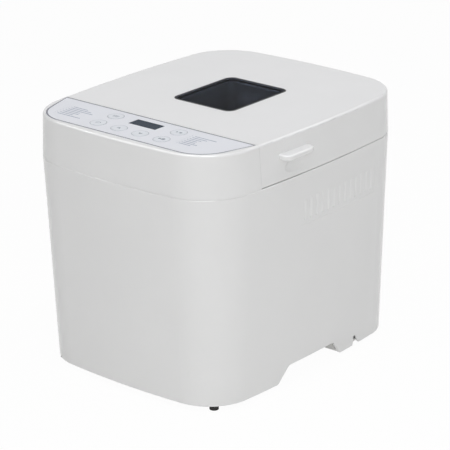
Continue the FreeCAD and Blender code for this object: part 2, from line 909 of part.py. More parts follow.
def cord_gland():
    body = new_body("cord_gland")
    share = (S.seam_height - S.gland_height) / (S.seam_height - S.rim_height)
    sagitta = S.end_bow - (S.end_bow * S.end_bow - gland_place * gland_place).root()
    rake = S.base_inset - S.base_shift
    outside = half_depth - sagitta - share * rake
    lean = gland_place / S.end_bow + rake / (S.seam_height - S.rim_height)
    gap = (S.gland_radius + S.gland_flange) * lean + S.fit / 2
    tip = outside + gap + S.gland_flange
    inside = outside - S.wall - gap
    length = tip - inside + S.gland_flange
    for name, start, run, radius in (
        ("neck", tip, length, S.gland_radius),
        ("collar", tip, S.gland_flange, S.gland_radius + S.gland_flange),
        ("nut", inside, S.gland_flange, S.gland_radius + S.gland_flange),
    ):
        circle = Profile(body, f"gland_{name}_circle", "XZ_Plane", -start)
        circle.circle(gland_place, S.gland_height, radius)
        pad(body, f"gland_{name}", circle, run)
    bore = Profile(body, "gland_bore_circle", "XZ_Plane", -(inside - S.gland_flange))
    bore.circle(gland_place, S.gland_height, S.gland_radius - S.gland_flange / 2)
    pocket(body, "gland_bore", bore, length)


def upper_cap():
    """The upper housing as one block with a round top edge, from which console and lid are cut."""
    body = tool_body("upper_cap")
    bottom = S.seam_height + S.console_gap
    height = S.total_height - bottom
    outline = Profile(body, "cap_outline", lift=bottom)
    outline.housing(as_size(0.0), as_size(0.0))
    block = pad(body, "cap_block", outline, height)
    bind(block, "TaperAngle", -(S.top_inset / height).angle())
    fillet(body, "cap_round", block, edges_at(S.total_height), S.top_round)
    return body


def upper_hollow():
    body = tool_body("upper_hollow")
    housing_loft(body, "hollow_block", [
        (S.seam_height, S.wall, as_size(0.0)),
        (lid_ceiling, S.wall + S.top_inset, as_size(0.0)),
    ])
    return body


def split_block(name, offset, bottom, far, lift=0.0):
    """A block on one side of the raked split, whose floor may rise towards the split by a lift."""
    body = tool_body(name)
    rise = S.total_height - S.seam_height
    top = S.total_height + rise
    profile = Profile(body, f"{name}_section", "YZ_Plane", -S.case_width)
    near_floor = bottom + lift
    profile.polygon([
        (split_seam + offset - S.split_rake * (near_floor - S.seam_height) / rise, near_floor),
        (far, bottom),
        (far, top),
        (split_top - S.split_rake + offset, top),
    ])
    pad(body, f"{name}_block", profile, S.case_width * 2)
    return body


def shell_half(label, cap, hollow, outer_block, inner_block):
    """One half of the upper housing as a thin-walled shell, ready for its own features."""
    outer = join("Part::Common", f"{label}_outer", cap, outer_block)
    inner = join("Part::Common", f"{label}_inner", hollow, inner_block)
    shell = join("Part::Cut", f"{label}_shell", outer, inner)
    body = new_body(label)
    body.BaseFeature = shell
    return body


def front_console(cap, hollow):
    below = S.seam_height - S.top_wall
    body = shell_half(
        "front_console",
        cap,
        hollow,
        split_block("console_side", as_size(0.0), below, -S.case_depth),
        split_block("console_inside", -S.wall, below, -S.case_depth),
    )
    recess = Profile(body, "overlay_recess_outline", lift=S.total_height)
    recess.overlay(S.fit)
    pocket(body, "overlay_recess", recess, S.overlay_gauge)
    lens = Profile(body, "lens_recess_outline", lift=S.total_height)
    lens.block(as_size(0.0), lens_middle, S.lens_width + S.fit * 2, S.lens_depth + S.fit * 2)
    pocket(body, "lens_recess", lens, S.lens_gauge)
    openings = Profile(body, "panel_openings", lift=S.total_height)
    openings.block(
        as_size(0.0),
        lens_middle,
        S.lens_width - S.display_rim * 2,
        S.lens_depth - S.display_rim * 2,
    )
    for x, y in key_places().values():
        openings.circle(x, y, S.key_radius + S.fit)
    pocket(body, "panel_cuts", openings, S.top_wall * 2)
    posts = Profile(body, "console_posts", lift=board_top)
    for x, y in control_board_corners():
        posts.circle(x, y, S.post_radius)
    pad(body, "console_post_pads", posts, lid_ceiling - board_top)


def control_board_corners():
    middle = board_back - S.board_depth / 2
    return board_corners(as_size(0.0), middle, S.board_width, S.board_depth)


def key_places():
    inner = S.key_pitch / 2
    outer = inner + S.key_pitch
    return {
        "menu_key": (-outer, key_row_back),
        "start_stop_key": (outer, key_row_back),
        "crust_key": (-outer, key_row_front),
        "time_up_key": (-inner, key_row_front),
        "time_down_key": (inner, key_row_front),
        "loaf_size_key": (outer, key_row_front),
    }


def control_overlay():
    body = new_body("control_overlay")
    outline = Profile(body, "overlay_outline", lift=S.total_height - S.overlay_gauge)
    outline.overlay(as_size(0.0))
    outline.block(as_size(0.0), lens_middle, S.lens_width + S.fit * 2, S.lens_depth + S.fit * 2)
    for x, y in key_places().values():
        outline.circle(x, y, S.key_radius + S.fit)
    pad(body, "overlay", outline, S.overlay_gauge)


def plain_block(label, x, y, width, depth, bottom, top):
    body = new_body(label)
    outline = Profile(body, f"{label}_outline", lift=bottom)
    outline.block(as_size(x), as_size(y), width, depth)
    pad(body, f"{label}_pad", outline, top - bottom)
    return body


def panel_parts():
    plain_block(
        "lcd_lens", 0.0, lens_middle, S.lens_width, S.lens_depth,
        S.total_height - S.lens_gauge, S.total_height,
    )
    plain_block(
        "lcd_module", 0.0, lens_middle,
        S.lens_width + S.display_rim * 2, S.lens_depth + S.display_rim * 2,
        board_top, lid_ceiling - S.fit,
    )
    plain_block(
        "control_board", 0.0, board_back - S.board_depth / 2, S.board_width, S.board_depth,
        board_top - S.board_gauge, board_top,
    )
    body = new_body("key_switches")
    outline = Profile(body, "switch_outlines", lift=board_top)
    for x, y in key_places().values():
        outline.block(x, y, S.switch_side, S.switch_side)
    pad(body, "switches", outline, S.switch_height)


def push_keys():
    flange_top = lid_ceiling - S.fit
    flange_bottom = flange_top - S.key_flange_gauge
    stem_bottom = board_top + S.switch_height + S.key_travel + S.fit / 2
    for label, (x, y) in key_places().items():
        body = new_body(label)
        for name, radius, bottom, top in (
            ("cap", S.key_radius, flange_bottom, S.total_height + S.key_stand),
            ("flange", S.key_radius + S.key_flange, flange_bottom, flange_top),
            ("stem", S.key_stem, stem_bottom, flange_bottom),
        ):
            circle = Profile(body, f"{label}_{name}_circle", lift=bottom)
            circle.circle(x, y, radius)
            feature = pad(body, f"{label}_{name}", circle, top - bottom)
        fillet(body, f"{label}_round", feature, is_key_top, S.key_round)


def is_key_top(edge):
    return near(edge.BoundBox.ZMin, SIZES["total_height"] + SIZES["key_stand"]) and len(edge.Vertexes) == 1


def lid_shell(cap, hollow):
    offset = S.split_gap
    body = shell_half(
        "lid_shell",
        cap,
        hollow,
        split_block("lid_side", offset, lid_bottom, S.case_depth, S.seam_rise),
        split_block("lid_inside", offset + S.wall, S.seam_height - S.top_wall, S.case_depth),
    )
    window = Profile(body, "window_opening_outline", lift=S.total_height)
    window_outline(window, as_size(0.0))
    pocket(body, "window_opening", window, S.top_wall * 2)
    lid_knuckles(body)
    scoop_start = half_width - S.wall - S.top_inset - S.scoop_backing
    scoop_block = Profile(body, "scoop_block_outline", "YZ_Plane", scoop_start)
    scoop_block.rectangle(
        tab_middle - S.tab_length / 2,
        tab_bottom - S.scoop_height + S.wall,
        tab_middle + S.tab_length / 2,
        tab_bottom + S.wall,
    )
    pad(body, "scoop_block", scoop_block, S.scoop_backing + S.wall / 2)
    tab_start = half_width - S.wall - S.fit * 2
    tab = Profile(body, "tab_outline", lift=tab_bottom)
    tab.tongue(
        tab_start,
        tab_middle - S.tab_length / 2,
        half_width + S.tab_reach,
        tab_middle + S.tab_length / 2,
        S.tab_corner,
    )
    tab_pad = pad(body, "tab", tab, S.tab_gauge)
    fillet(body, "tab_edges", tab_pad, is_tab_edge, S.tab_round)
    scoop = body.newObject("PartDesign::SubtractiveEllipsoid", "scoop")
    bind(scoop, "Radius1", S.scoop_height / 2)
    bind(scoop, "Radius2", S.scoop_reach)
    bind(scoop, "Radius3", S.tab_length / 2)
    bind(scoop, "Placement.Base.x", half_width - S.top_inset - S.scoop_depth + S.scoop_reach)
    bind(scoop, "Placement.Base.y", tab_middle)
    bind(scoop, "Placement.Base.z", tab_bottom - S.scoop_height / 2)


def is_tab_edge(edge):
    box = edge.BoundBox
    level = near(box.ZMin, tab_bottom.number) or near(box.ZMin, tab_top.number)
    return level and near(box.ZMin, box.ZMax) and box.XMax > half_width.number + SIZES["fit"]


def lid_knuckles(body):
    notches = Profile(body, "ear_notches", "XZ_Plane", -(hinge_y - S.hinge_block))
    gap = S.ear_play / 2
    for side in (-1, 1):
        for end in (-1, 1):
            middle = side * S.hinge_spread + end * (S.knuckle_width + S.ear_width + S.ear_play * 2) / 2
            notches.rectangle(
                middle - S.ear_width / 2 - gap,
                S.seam_height,
                middle + S.ear_width / 2 + gap,
                hinge_z + S.hinge_barrel + gap * 2,
            )
    pocket(body, "ear_notch_cuts", notches, S.hinge_block * 2)
    knuckle = Profile(body, "knuckle_circle", "YZ_Plane", S.hinge_spread - S.knuckle_width / 2)
    knuckle.circle(hinge_y, hinge_z, S.hinge_barrel)
    knuckle_pad = pad(body, "knuckle", knuckle, S.knuckle_width)
    mirror_over_middle(body, "knuckles", knuckle_pad)
    bore = Profile(body, "knuckle_bore_circle", "YZ_Plane", S.hinge_spread + S.knuckle_width / 2 + gap)
    bore.circle(hinge_y, hinge_z, S.hinge_pin + S.running_fit)
    bore_cut = pocket(body, "knuckle_bore", bore, S.knuckle_width + gap * 2)
    mirror_over_middle(body, "knuckle_bores", bore_cut)


def window_outline(profile, margin):
    profile.rounded(
        -(S.window_width / 2) - margin,
        window_front - margin,
        S.window_width / 2 + margin,
        window_back + margin,
        S.window_corner + margin,
    )


def lid_window():
    glass_bottom = S.total_height - S.glass_gauge
    glass = new_body("window_glass")
    pane = Profile(glass, "glass_outline", lift=glass_bottom)
    window_outline(pane, -S.fit)
    pad(glass, "glass", pane, S.glass_gauge)
    gasket = new_body("window_gasket")
    ring = Profile(gasket, "gasket_outline", lift=gasket_bottom)
    window_outline(ring, S.gasket_lap)
    window_outline(ring, -S.gasket_lap)
    pad(gasket, "gasket", ring, S.gasket_gauge)
    well = new_body("window_well")
    tube_ring = Profile(well, "well_outline", lift=liner_top)
    window_outline(tube_ring, S.well_wall)
    window_outline(tube_ring, as_size(0.0))
    pad(well, "well", tube_ring, gasket_bottom - liner_top)
    lip = Profile(well, "well_lip_outline", lift=liner_top)
    window_outline(lip, S.well_wall)
    window_outline(lip, -S.well_lip)
    pad(well, "well_lip", lip, S.well_wall)
    inner = new_body("inner_glass")
    inner_pane = Profile(inner, "inner_glass_outline", lift=liner_top + S.well_wall)
    window_outline(inner_pane, -S.fit)
    pad(inner, "inner_pane", inner_pane, S.glass_gauge)


def lid_liner():
    body = new_body("lid_liner")
    outline = Profile(body, "liner_outline", lift=liner_bottom)
    taper = S.top_inset * (liner_top - S.seam_height) / (lid_ceiling - S.seam_height)
    outline.housing(S.wall + taper + S.fit, as_size(0.0))
    window_outline(outline, -S.well_lip)
    pad(body, "liner", outline, S.liner_gauge)
    cuts = Profile(body, "liner_cuts", lift=liner_top)
    cuts.rectangle(-S.case_width, -S.case_depth, S.case_width, split_seam + S.split_gap + S.wall + S.fit)
    for side in (-1, 1):
        cuts.rectangle(
            side * S.hinge_spread - hinge_width() / 2 - S.fit,
            hinge_y - S.liner_relief,
            side * S.hinge_spread + hinge_width() / 2 + S.fit,
            S.case_depth,
        )
    pocket(body, "liner_cut", cuts, S.liner_gauge * 2)


def hinges():
    body = new_body("hinge_brackets")
    width = hinge_width()
    foot = S.seam_height - S.hinge_barrel * 2 + S.fit * 2
    block_top = deck_bottom - S.fit
    back = hinge_y - S.hinge_arm
    first = S.hinge_spread - width / 2
    second = S.hinge_spread + S.knuckle_width / 2 + S.ear_play
    block = Profile(body, "hinge_block_section", "YZ_Plane", first)
    block.rectangle(hinge_y - S.hinge_block, S.seam_height - S.hinge_drop, back, block_top - S.hinge_barrel)
    block_pad = pad(body, "hinge_block", block, width)
    mirror_over_middle(body, "hinge_blocks", block_pad)
    for name, start in (("inner", first), ("outer", second)):
        arm = Profile(body, f"hinge_arm_{name}", "YZ_Plane", start)
        arm.polygon([
            (hinge_y - S.hinge_block, S.seam_height - S.hinge_drop),
            (back, S.seam_height - S.hinge_drop),
            (back, foot),
            (hinge_y + S.hinge_barrel / 2, foot),
            (hinge_y + S.hinge_barrel, hinge_z),
            (hinge_y - S.hinge_barrel, hinge_z),
            (back - S.hinge_arm, foot),
        ])
        arm_pad = pad(body, f"hinge_arm_{name}_pad", arm, S.ear_width)
        mirror_over_middle(body, f"hinge_arms_{name}", arm_pad)
        barrel = Profile(body, f"hinge_barrel_{name}", "YZ_Plane", start)
        barrel.circle(hinge_y, hinge_z, S.hinge_barrel)
        barrel_pad = pad(body, f"hinge_barrel_{name}_pad", barrel, S.ear_width)
        mirror_over_middle(body, f"hinge_barrels_{name}", barrel_pad)
    bore = Profile(body, "hinge_bore_circle", "YZ_Plane", half_width)
    bore.circle(hinge_y, hinge_z, S.hinge_pin + S.running_fit)
    pocket(body, "hinge_bores", bore, S.case_width)
    pins = new_body("hinge_pins")
    pin = Profile(pins, "hinge_pin_circle", "YZ_Plane", first)
    pin.circle(hinge_y, hinge_z, S.hinge_pin)
    pin_pad = pad(pins, "hinge_pin_pad", pin, width)
    mirror_over_middle(pins, "hinge_pin_pair", pin_pad)


def top_deck():
    body = new_body("top_deck")
    outline = Profile(body, "deck_outline", lift=deck_bottom)
    outline.housing(S.wall + S.fit, as_size(0.0))
    oven_outline(outline, -S.oven_gauge, oven_middle)
    pad(body, "deck", outline, S.deck_gauge)
    cuts = Profile(body, "deck_cuts", lift=deck_top)
    cuts.rectangle(-S.case_width, -S.case_depth, S.case_width, split_top - S.deck_tuck)
    for side in (-1, 1):
        cuts.rectangle(
            side * S.hinge_spread - hinge_width() / 2 - S.fit,
            hinge_y - S.hinge_block - S.fit,
            side * S.hinge_spread + hinge_width() / 2 + S.fit,
            S.case_depth,
        )
    pocket(body, "deck_cut", cuts, S.deck_gauge * 2)


def oven_outline(profile, margin, y=0.0):
    profile.rounded_block(
        as_size(0.0),
        as_size(y),
        S.oven_width + margin * 2,
        S.oven_depth + margin * 2,
        S.oven_corner + margin,
    )


def round_block(name, outline, margin, bottom, top, spread, rounding):
    """A block with a round foot, wider all round at its top by a spread."""
    body = tool_body(name)
    profile = Profile(body, f"{name}_outline", lift=bottom)
    outline(profile, margin)
    block = pad(body, f"{name}_block", profile, top - bottom)
    bind(block, "TaperAngle", (spread / (top - bottom)).angle())
    fillet(body, f"{name}_round", block, edges_at(bottom), rounding)
    return body


def oven_chamber():
    zero = as_size(0.0)
    gauge = S.oven_gauge
    outer = round_block("tub_outer", oven_outline, zero, oven_bottom, deck_bottom, zero, S.oven_round)
    inner = round_block(
        "tub_inner", oven_outline, -gauge, oven_floor, deck_bottom, zero, S.oven_round - gauge
    )
    body = new_body("oven_chamber", oven_middle)
    body.BaseFeature = join("Part::Cut", "tub_shell", outer, inner)
    flange = Profile(body, "flange_outline", lift=deck_bottom - gauge)
    oven_outline(flange, S.oven_flange)
    oven_outline(flange, -(gauge / 2))
    pad(body, "flange", flange, gauge)
    floor_hole = Profile(body, "floor_hole", lift=oven_floor)
    floor_hole.circle(0.0, 0.0, S.housing_radius + S.fit)
    pocket(body, "floor_hole_cut", floor_hole, S.oven_gauge * 2)
    holes = Profile(body, "wall_holes", "XZ_Plane", oven_half_depth + S.oven_flange)
    for x, level, radius in wall_fittings():
        holes.circle(x, level, radius + S.running_fit)
    pocket(body, "wall_hole_cuts", holes, S.oven_flange * 2)


def wall_fittings():
    """Centre, level and radius of what passes through the front wall of the oven."""
    return [
        (-S.element_leg, element_level, S.bush_radius),
        (S.element_leg, element_level, S.bush_radius),
        (S.sensor_place, sensor_level, S.sensor_radius),
    ]


def heat_shield():
    body = new_body("heat_shield", oven_middle)
    front = oven_half_depth + S.shield_gap
    plate = Profile(body, "shield_outline", "XZ_Plane", front)
    plate.rectangle(-(S.shield_width / 2), chassis_top, S.shield_width / 2, deck_bottom - S.shield_drop)
    for x, level, radius in wall_fittings():
        plate.circle(x, level, radius + S.fit)
    pad(body, "shield", plate, S.oven_gauge)


def heating_element():
    body = new_body("heating_element", oven_middle)
    half_x = oven_half_width - S.oven_gauge - S.element_gap
    half_y = oven_half_depth - S.oven_gauge - S.element_gap
    tail = -half_y - S.element_bend - S.element_tail
    far_x = half_x - S.element_corner
    far_y = half_y - S.element_corner
    bend_x = S.element_leg + S.element_bend
    bend_y = -half_y - S.element_bend
    path = Profile(body, "element_path", lift=element_level)
    runs = [
        path.line((-S.element_leg, tail), (-S.element_leg, bend_y)),
        path.arc(-bend_x, bend_y, S.element_bend, 0, 90),
        path.line((-bend_x, -half_y), (-far_x, -half_y)),
        path.arc(-far_x, -far_y, S.element_corner, 180, 270),
        path.line((-half_x, -far_y), (-half_x, far_y)),
        path.arc(-far_x, far_y, S.element_corner, 90, 180),
        path.line((-far_x, half_y), (far_x, half_y)),
        path.arc(far_x, far_y, S.element_corner, 0, 90),
        path.line((half_x, far_y), (half_x, -far_y)),
        path.arc(far_x, -far_y, S.element_corner, 270, 360),
        path.line((far_x, -half_y), (bend_x, -half_y)),
        path.arc(bend_x, bend_y, S.element_bend, 90, 180),
        path.line((S.element_leg, bend_y), (S.element_leg, tail)),
    ]
    chain(path, runs, {3, 5, 7, 9})
    path.fix(runs[0], START, -S.element_leg, tail)
    path.fix(runs[-1], END, S.element_leg, tail)
    section = Profile(body, "element_section", "XZ_Plane", -tail)
    section.circle(-S.element_leg, element_level, S.element_radius)
    pipe(body, "element_tube", section, path)


def chain(path, runs, backward):
    """Joins lines and arcs end to end, where some arcs are drawn against the path's direction."""
    ends = []
    for index in range(len(runs)):
        against = index in backward
        ends.append((END, START) if against else (START, END))
    for index in range(len(runs) - 1):
        path.smooth(runs[index], ends[index][1], runs[index + 1], ends[index + 1][0])


def element_bushes():
    body = new_body("element_bushes", oven_middle)
    outer = oven_half_depth + S.bush_stand
    rings = Profile(body, "bush_rings", "XZ_Plane", outer - S.bush_length)
    for side in (-1, 1):
        rings.circle(side * S.element_leg, element_level, S.bush_radius)
        rings.circle(side * S.element_leg, element_level, S.element_radius + S.running_fit)
    pad(body, "bushes", rings, S.bush_length)
    sensor = new_body("oven_sensor", oven_middle)
    probe = Profile(sensor, "probe_circle", "XZ_Plane", oven_half_depth - S.sensor_length / 2)
    probe.circle(S.sensor_place, sensor_level, S.sensor_radius)
    pad(sensor, "probe", probe, S.sensor_length)


def chassis_plate():
    body = new_body("chassis_plate")
    front = oven_front - S.chassis_lap
    back = oven_middle + oven_half_depth
    half = S.chassis_width / 2
    plate = Profile(body, "chassis_outline", lift=chassis_bottom)
    plate.rounded(-half, front, half, back, S.chassis_margin)
    pad(body, "chassis", plate, S.chassis_gauge)
    tongue = Profile(body, "chassis_tongue_outline", lift=chassis_bottom)
    tongue.rectangle(
        -(S.chassis_tongue / 2),
        motor_middle - S.motor_side / 2,
        S.chassis_tongue / 2,
        front + S.chassis_margin,
    )
    pad(body, "chassis_tongue", tongue, S.chassis_gauge)
    holes = Profile(body, "chassis_holes", lift=chassis_top)
    holes.circle(0.0, oven_middle, S.housing_radius + S.running_fit)
    holes.circle(0.0, motor_middle, S.motor_shaft + S.free_gap)
    pocket(body, "chassis_hole_cuts", holes, S.chassis_gauge * 2)


def chamber_posts():
    body = new_body("chamber_posts", oven_middle)
    posts = Profile(body, "post_circles", lift=chassis_top)
    across = oven_half_width - S.oven_corner
    along = oven_half_depth - S.oven_corner
    for side in (-1, 1):
        for end in (-1, 1):
            posts.circle(side * across, end * along, S.boss_radius)
    pad(body, "posts", posts, S.oven_lift)


def drive_train():
    bore = S.bearing_radius + S.running_fit
    hub_bottom = chassis_bottom - S.housing_radius / 2
    hub_top = oven_floor + S.flange_gauge
    flange_top = chassis_top + S.flange_gauge
    turned("bearing_housing", oven_middle, [
        (bore, hub_bottom),
        (S.housing_radius, hub_bottom),
        (S.housing_radius, chassis_top),
        (S.housing_flange, chassis_top),
        (S.housing_flange, flange_top),
        (S.housing_radius, flange_top),
        (S.housing_radius, hub_top),
        (bore, hub_top),
    ])
    turned(
        "drive_bush", oven_middle,
        tube(S.drive_radius + S.running_fit, S.bearing_radius, hub_bottom, hub_top),
    )
    pulley_half = S.belt_width / 2 + S.pulley_flange
    shaft_bottom = belt_level - pulley_half
    turned("drive_shaft", oven_middle, rod(S.drive_radius, shaft_bottom, shaft_top))
    pulley("drive_pulley", oven_middle, S.large_pulley, S.drive_radius)
    coupling_bottom = shaft_top - S.coupling_gauge
    coupling = turned(
        "drive_coupling", oven_middle,
        tube(S.drive_radius, S.coupling_radius, coupling_bottom, shaft_top),
    )
    dogs = Profile(coupling, "dog_outlines", lift=coupling_bottom)
    inner = S.coupling_radius / 2
    for side in (-1, 1):
        dogs.block(side * (S.coupling_radius + inner) / 2, as_size(0.0), inner, S.dog_width)
    pad(coupling, "dogs", dogs, dog_top - coupling_bottom)


def pulley(label, y, radius, shaft_radius):
    """A flat pulley with two rims, bored for its shaft."""
    low = belt_level - S.belt_width / 2 - S.fit
    high = belt_level + S.belt_width / 2 + S.fit
    rim = radius + S.pulley_rim
    return turned(label, y, [
        (shaft_radius, low - S.pulley_flange),
        (rim, low - S.pulley_flange),
        (rim, low),
        (radius, low),
        (radius, high),
        (rim, high),
        (rim, high + S.pulley_flange),
        (shaft_radius, high + S.pulley_flange),
    ])


def drive_belt():
    body = new_body("drive_belt")
    outline = Profile(body, "belt_outline", lift=belt_level - S.belt_width / 2)
    belt_loop(outline, S.fit)
    belt_loop(outline, S.fit + S.belt_gauge)
    pad(body, "belt", outline, S.belt_width)


def belt_loop(profile, margin):
    """Two arcs round the pulleys, joined by their outer tangents."""
    large = S.large_pulley + margin
    small = S.small_pulley + margin
    spacing = oven_middle - motor_middle
    lean = math.degrees(math.asin((large.number - small.number) / spacing.number))
    cosine = math.cos(math.radians(lean))
    sine = math.sin(math.radians(lean))
    big = profile.arc(0.0, oven_middle, large, -lean, 180 + lean)
    little = profile.arc(0.0, motor_middle, small, 180 + lean, 360 - lean)
    left = profile.line(
        (-large.number * cosine, oven_middle.number - large.number * sine),
        (-small.number * cosine, motor_middle.number - small.number * sine),
    )
    right = profile.line(
        (small.number * cosine, motor_middle.number - small.number * sine),
        (large.number * cosine, oven_middle.number - large.number * sine),
    )
    profile.smooth(big, END, left, START)
    profile.smooth(left, END, little, START)
    profile.smooth(little, END, right, START)
    profile.smooth(right, END, big, START)


def motor():
    low_cap = motor_bottom - S.winding_height - S.fit
    high_cap = motor_top + S.winding_height + S.fit
    stator = new_body("motor_stator", motor_middle)
    stack = Profile(stator, "stack_outline", lift=motor_bottom)
    stack.rounded_block(as_size(0.0), as_size(0.0), S.motor_side, S.motor_side, S.motor_corner)
    stack.circle(0.0, 0.0, S.bore_radius)
    for x, y in bolt_places():
        stack.circle(x, y, S.bolt_radius + S.running_fit)
    pad(stator, "stack", stack, S.stack_height)
    windings = new_body("motor_windings", motor_middle)
    for name, bottom in (("lower", motor_bottom - S.winding_height), ("upper", motor_top)):
        ring = Profile(windings, f"winding_{name}_outline", lift=bottom)
        ring.circle(0.0, 0.0, S.winding_radius - S.bolt_radius)
        ring.circle(0.0, 0.0, S.bore_radius + S.fit)
        pad(windings, f"winding_{name}", ring, S.winding_height)
    caps = new_body("motor_end_caps", motor_middle)
    for name, bottom in (("lower", low_cap - S.cap_gauge), ("upper", motor_top)):
        cup = Profile(caps, f"cap_{name}_outline", lift=bottom)
        cup.circle(0.0, 0.0, S.cap_radius)
        pad(caps, f"cap_{name}", cup, high_cap + S.cap_gauge - motor_top)
    for name, level, reverse in (("lower", motor_bottom, False), ("upper", motor_top, True)):
        hollow = Profile(caps, f"cap_{name}_hollow_outline", lift=level)
        hollow.circle(0.0, 0.0, S.cap_radius - S.cap_gauge)
        pocket(caps, f"cap_{name}_hollow", hollow, S.winding_height + S.fit, reverse)
    bores = Profile(caps, "cap_bores", lift=high_cap + S.cap_gauge)
    bores.circle(0.0, 0.0, S.motor_shaft + S.running_fit)
    pocket(caps, "cap_bore_cuts", bores, high_cap - low_cap + S.cap_gauge * 2)
    bolts = new_body("motor_bolts", motor_middle)
    shanks = Profile(bolts, "bolt_circles", lift=chassis_top)
    for x, y in bolt_places():
        shanks.circle(x, y, S.bolt_radius)
    pad(bolts, "bolts", shanks, motor_top - chassis_top + S.flange_gauge)
    turned("motor_rotor", motor_middle, [
        (as_size(0.0), belt_level - S.belt_width / 2 - S.pulley_flange),
        (S.motor_shaft, belt_level - S.belt_width / 2 - S.pulley_flange),
        (S.motor_shaft, motor_bottom),
        (S.bore_radius - S.fit, motor_bottom),
        (S.bore_radius - S.fit, motor_top),
        (S.motor_shaft, motor_top),
        (S.motor_shaft, high_cap + S.cap_gauge * 2),
        (as_size(0.0), high_cap + S.cap_gauge * 2),
    ])
    pulley("motor_pulley", motor_middle, S.small_pulley, S.motor_shaft)


def bolt_places():
    return [(side * S.bolt_spread, end * S.bolt_spread) for side in (-1, 1) for end in (-1, 1)]


def run_capacitor():
    body = new_body("run_capacitor", motor_middle)
    can = Profile(body, "can_circle", lift=plate_top)
    can.circle(capacitor_place, 0.0, S.capacitor_radius)
    pad(body, "can", can, S.capacitor_height)


def power_board():
    bottom = plate_top + S.power_board_lift
    top = bottom + S.board_gauge
    plain_block(
        "power_board", -power_board_place, motor_middle, S.power_board_width, S.power_board_depth,
        bottom, top,
    )
    body = new_body("power_parts")
    middle = -power_board_place
    for name, x, side in (
        ("transformer", middle - S.transformer_side / 2, S.transformer_side),
        ("relay", middle + S.relay_side, S.relay_side),
    ):
        outline = Profile(body, f"{name}_outline", lift=top)
        outline.block(x, motor_middle, side, side)
        pad(body, name, outline, side)


def pan_seat():
    wall_in = S.ring_radius + S.lug_reach + S.seat_gap
    wall_out = wall_in + S.seat_wall
    hook_bottom = lug_top + S.fit
    hook_top = hook_bottom + S.lug_height
    body = turned("pan_seat", oven_middle, [
        (S.ring_radius - S.ring_wall, oven_floor),
        (wall_out + S.seat_flange, oven_floor),
        (wall_out + S.seat_flange, seat_top),
        (wall_out, seat_top),
        (wall_out, hook_top),
        (wall_in, hook_top),
        (wall_in, seat_top),
        (S.ring_radius - S.ring_wall, seat_top),
    ])
    hook = Profile(body, "hook_outline", lift=hook_bottom)
    hook_start = S.ring_radius + S.seat_gap
    hook.rectangle(hook_start, -(S.lug_width / 2), wall_in + S.seat_wall / 2, S.lug_width / 2)
    hook_pad = pad(body, "hook", hook, S.lug_height)
    around(body, "hooks", hook_pad, hook)


def around(body, name, original, profile):
    """Three copies of a feature about the piece's own axis."""
    pattern = body.newObject("PartDesign::PolarPattern", name)
    pattern.Originals = [original]
    pattern.Axis = (profile.sketch, ["N_Axis"])
    pattern.Occurrences = LUG_COUNT
    pattern.Angle = 360
    body.Tip = pattern


def bread_pan():
    outer = round_block("pan_outer", pan_outline, -S.pan_draft, pan_bottom, pan_top, S.pan_draft, S.pan_round)
    inner = round_block(
        "pan_inner", pan_outline, -S.pan_draft - S.pan_gauge, pan_floor, pan_top, S.pan_draft,
        S.pan_round - S.pan_gauge,
    )
    body = new_body("bread_pan", oven_middle)
    body.BaseFeature = join("Part::Cut", "pan_shell", outer, inner)
    rim = Profile(body, "pan_rim_outline", lift=pan_top - S.pan_gauge)
    pan_outline(rim, S.pan_rim)
    pan_outline(rim, -(S.pan_gauge / 2))
    rim_pad = pad(body, "pan_rim", rim, S.pan_gauge)
    fillet(body, "pan_rim_round", rim_pad, is_rim_edge, S.rim_round)
    hole = Profile(body, "pan_hole", lift=pan_floor)
    hole.circle(0.0, 0.0, S.pan_bush_radius + S.running_fit)
    pocket(body, "pan_hole_cut", hole, S.pan_gauge * 2)


def is_rim_edge(edge):
    box = edge.BoundBox
    across = max(abs(box.XMin), abs(box.XMax))
    along = max(abs(box.YMin), abs(box.YMax))
    width = SIZES["pan_width"] / 2 + SIZES["pan_rim"]
    depth = SIZES["pan_depth"] / 2 + SIZES["pan_rim"]
    return edges_at(pan_top)(edge) and (near(across, width) or near(along, depth))


def pan_outline(profile, margin):
    profile.rounded_block(
        as_size(0.0),
        as_size(0.0),
        S.pan_width + margin * 2,
        S.pan_depth + margin * 2,
        S.pan_corner + margin,
    )


def pan_fittings():
    ring = turned("pan_foot", oven_middle, [
        (S.ring_radius - S.ring_wall, ring_bottom),
        (S.ring_radius, ring_bottom),
        (S.ring_radius, pan_bottom),
        (S.pan_bush_radius + S.running_fit, pan_bottom),
        (S.pan_bush_radius + S.running_fit, pan_bottom - S.ring_wall),
        (S.ring_radius - S.ring_wall, pan_bottom - S.ring_wall),
    ])
    lug = Profile(ring, "lug_outline", lift=lug_bottom)
    lug.rectangle(
        S.ring_radius - S.ring_wall / 2,
        -(S.lug_width / 2),
        S.ring_radius + S.lug_reach,
        S.lug_width / 2,
    )
    lug_pad = pad(ring, "lug", lug, S.lug_height)
    around(ring, "lugs", lug_pad, lug)
    bore = S.pan_shaft_radius + S.running_fit
    turned("pan_bush", oven_middle, tube(bore, S.pan_bush_radius, bush_bottom, bush_top))
    turned("shaft_seal", oven_middle, tube(bore, S.pan_bush_radius - S.fit * 2, bush_top, seal_top))
    ears = new_body("pan_ears", oven_middle)
    half_pan = S.pan_width / 2
    ear_start = half_pan + S.pan_rim / 2 - S.bail_ear / 2
    ear = Profile(ears, "ear_outline", "YZ_Plane", ear_start)
    half = S.ear_length / 2
    ear.polygon([
        (-half, pan_top),
        (half, pan_top),
        (S.ear_tip / 2, pan_top + S.ear_height),
        (-(S.ear_tip / 2), pan_top + S.ear_height),
    ])
    ear.circle(0.0, bail_level, S.bail_wire + S.running_fit)
    ear_pad = pad(ears, "ear", ear, S.bail_ear)
    mirror_over_middle(ears, "ear_pair", ear_pad)


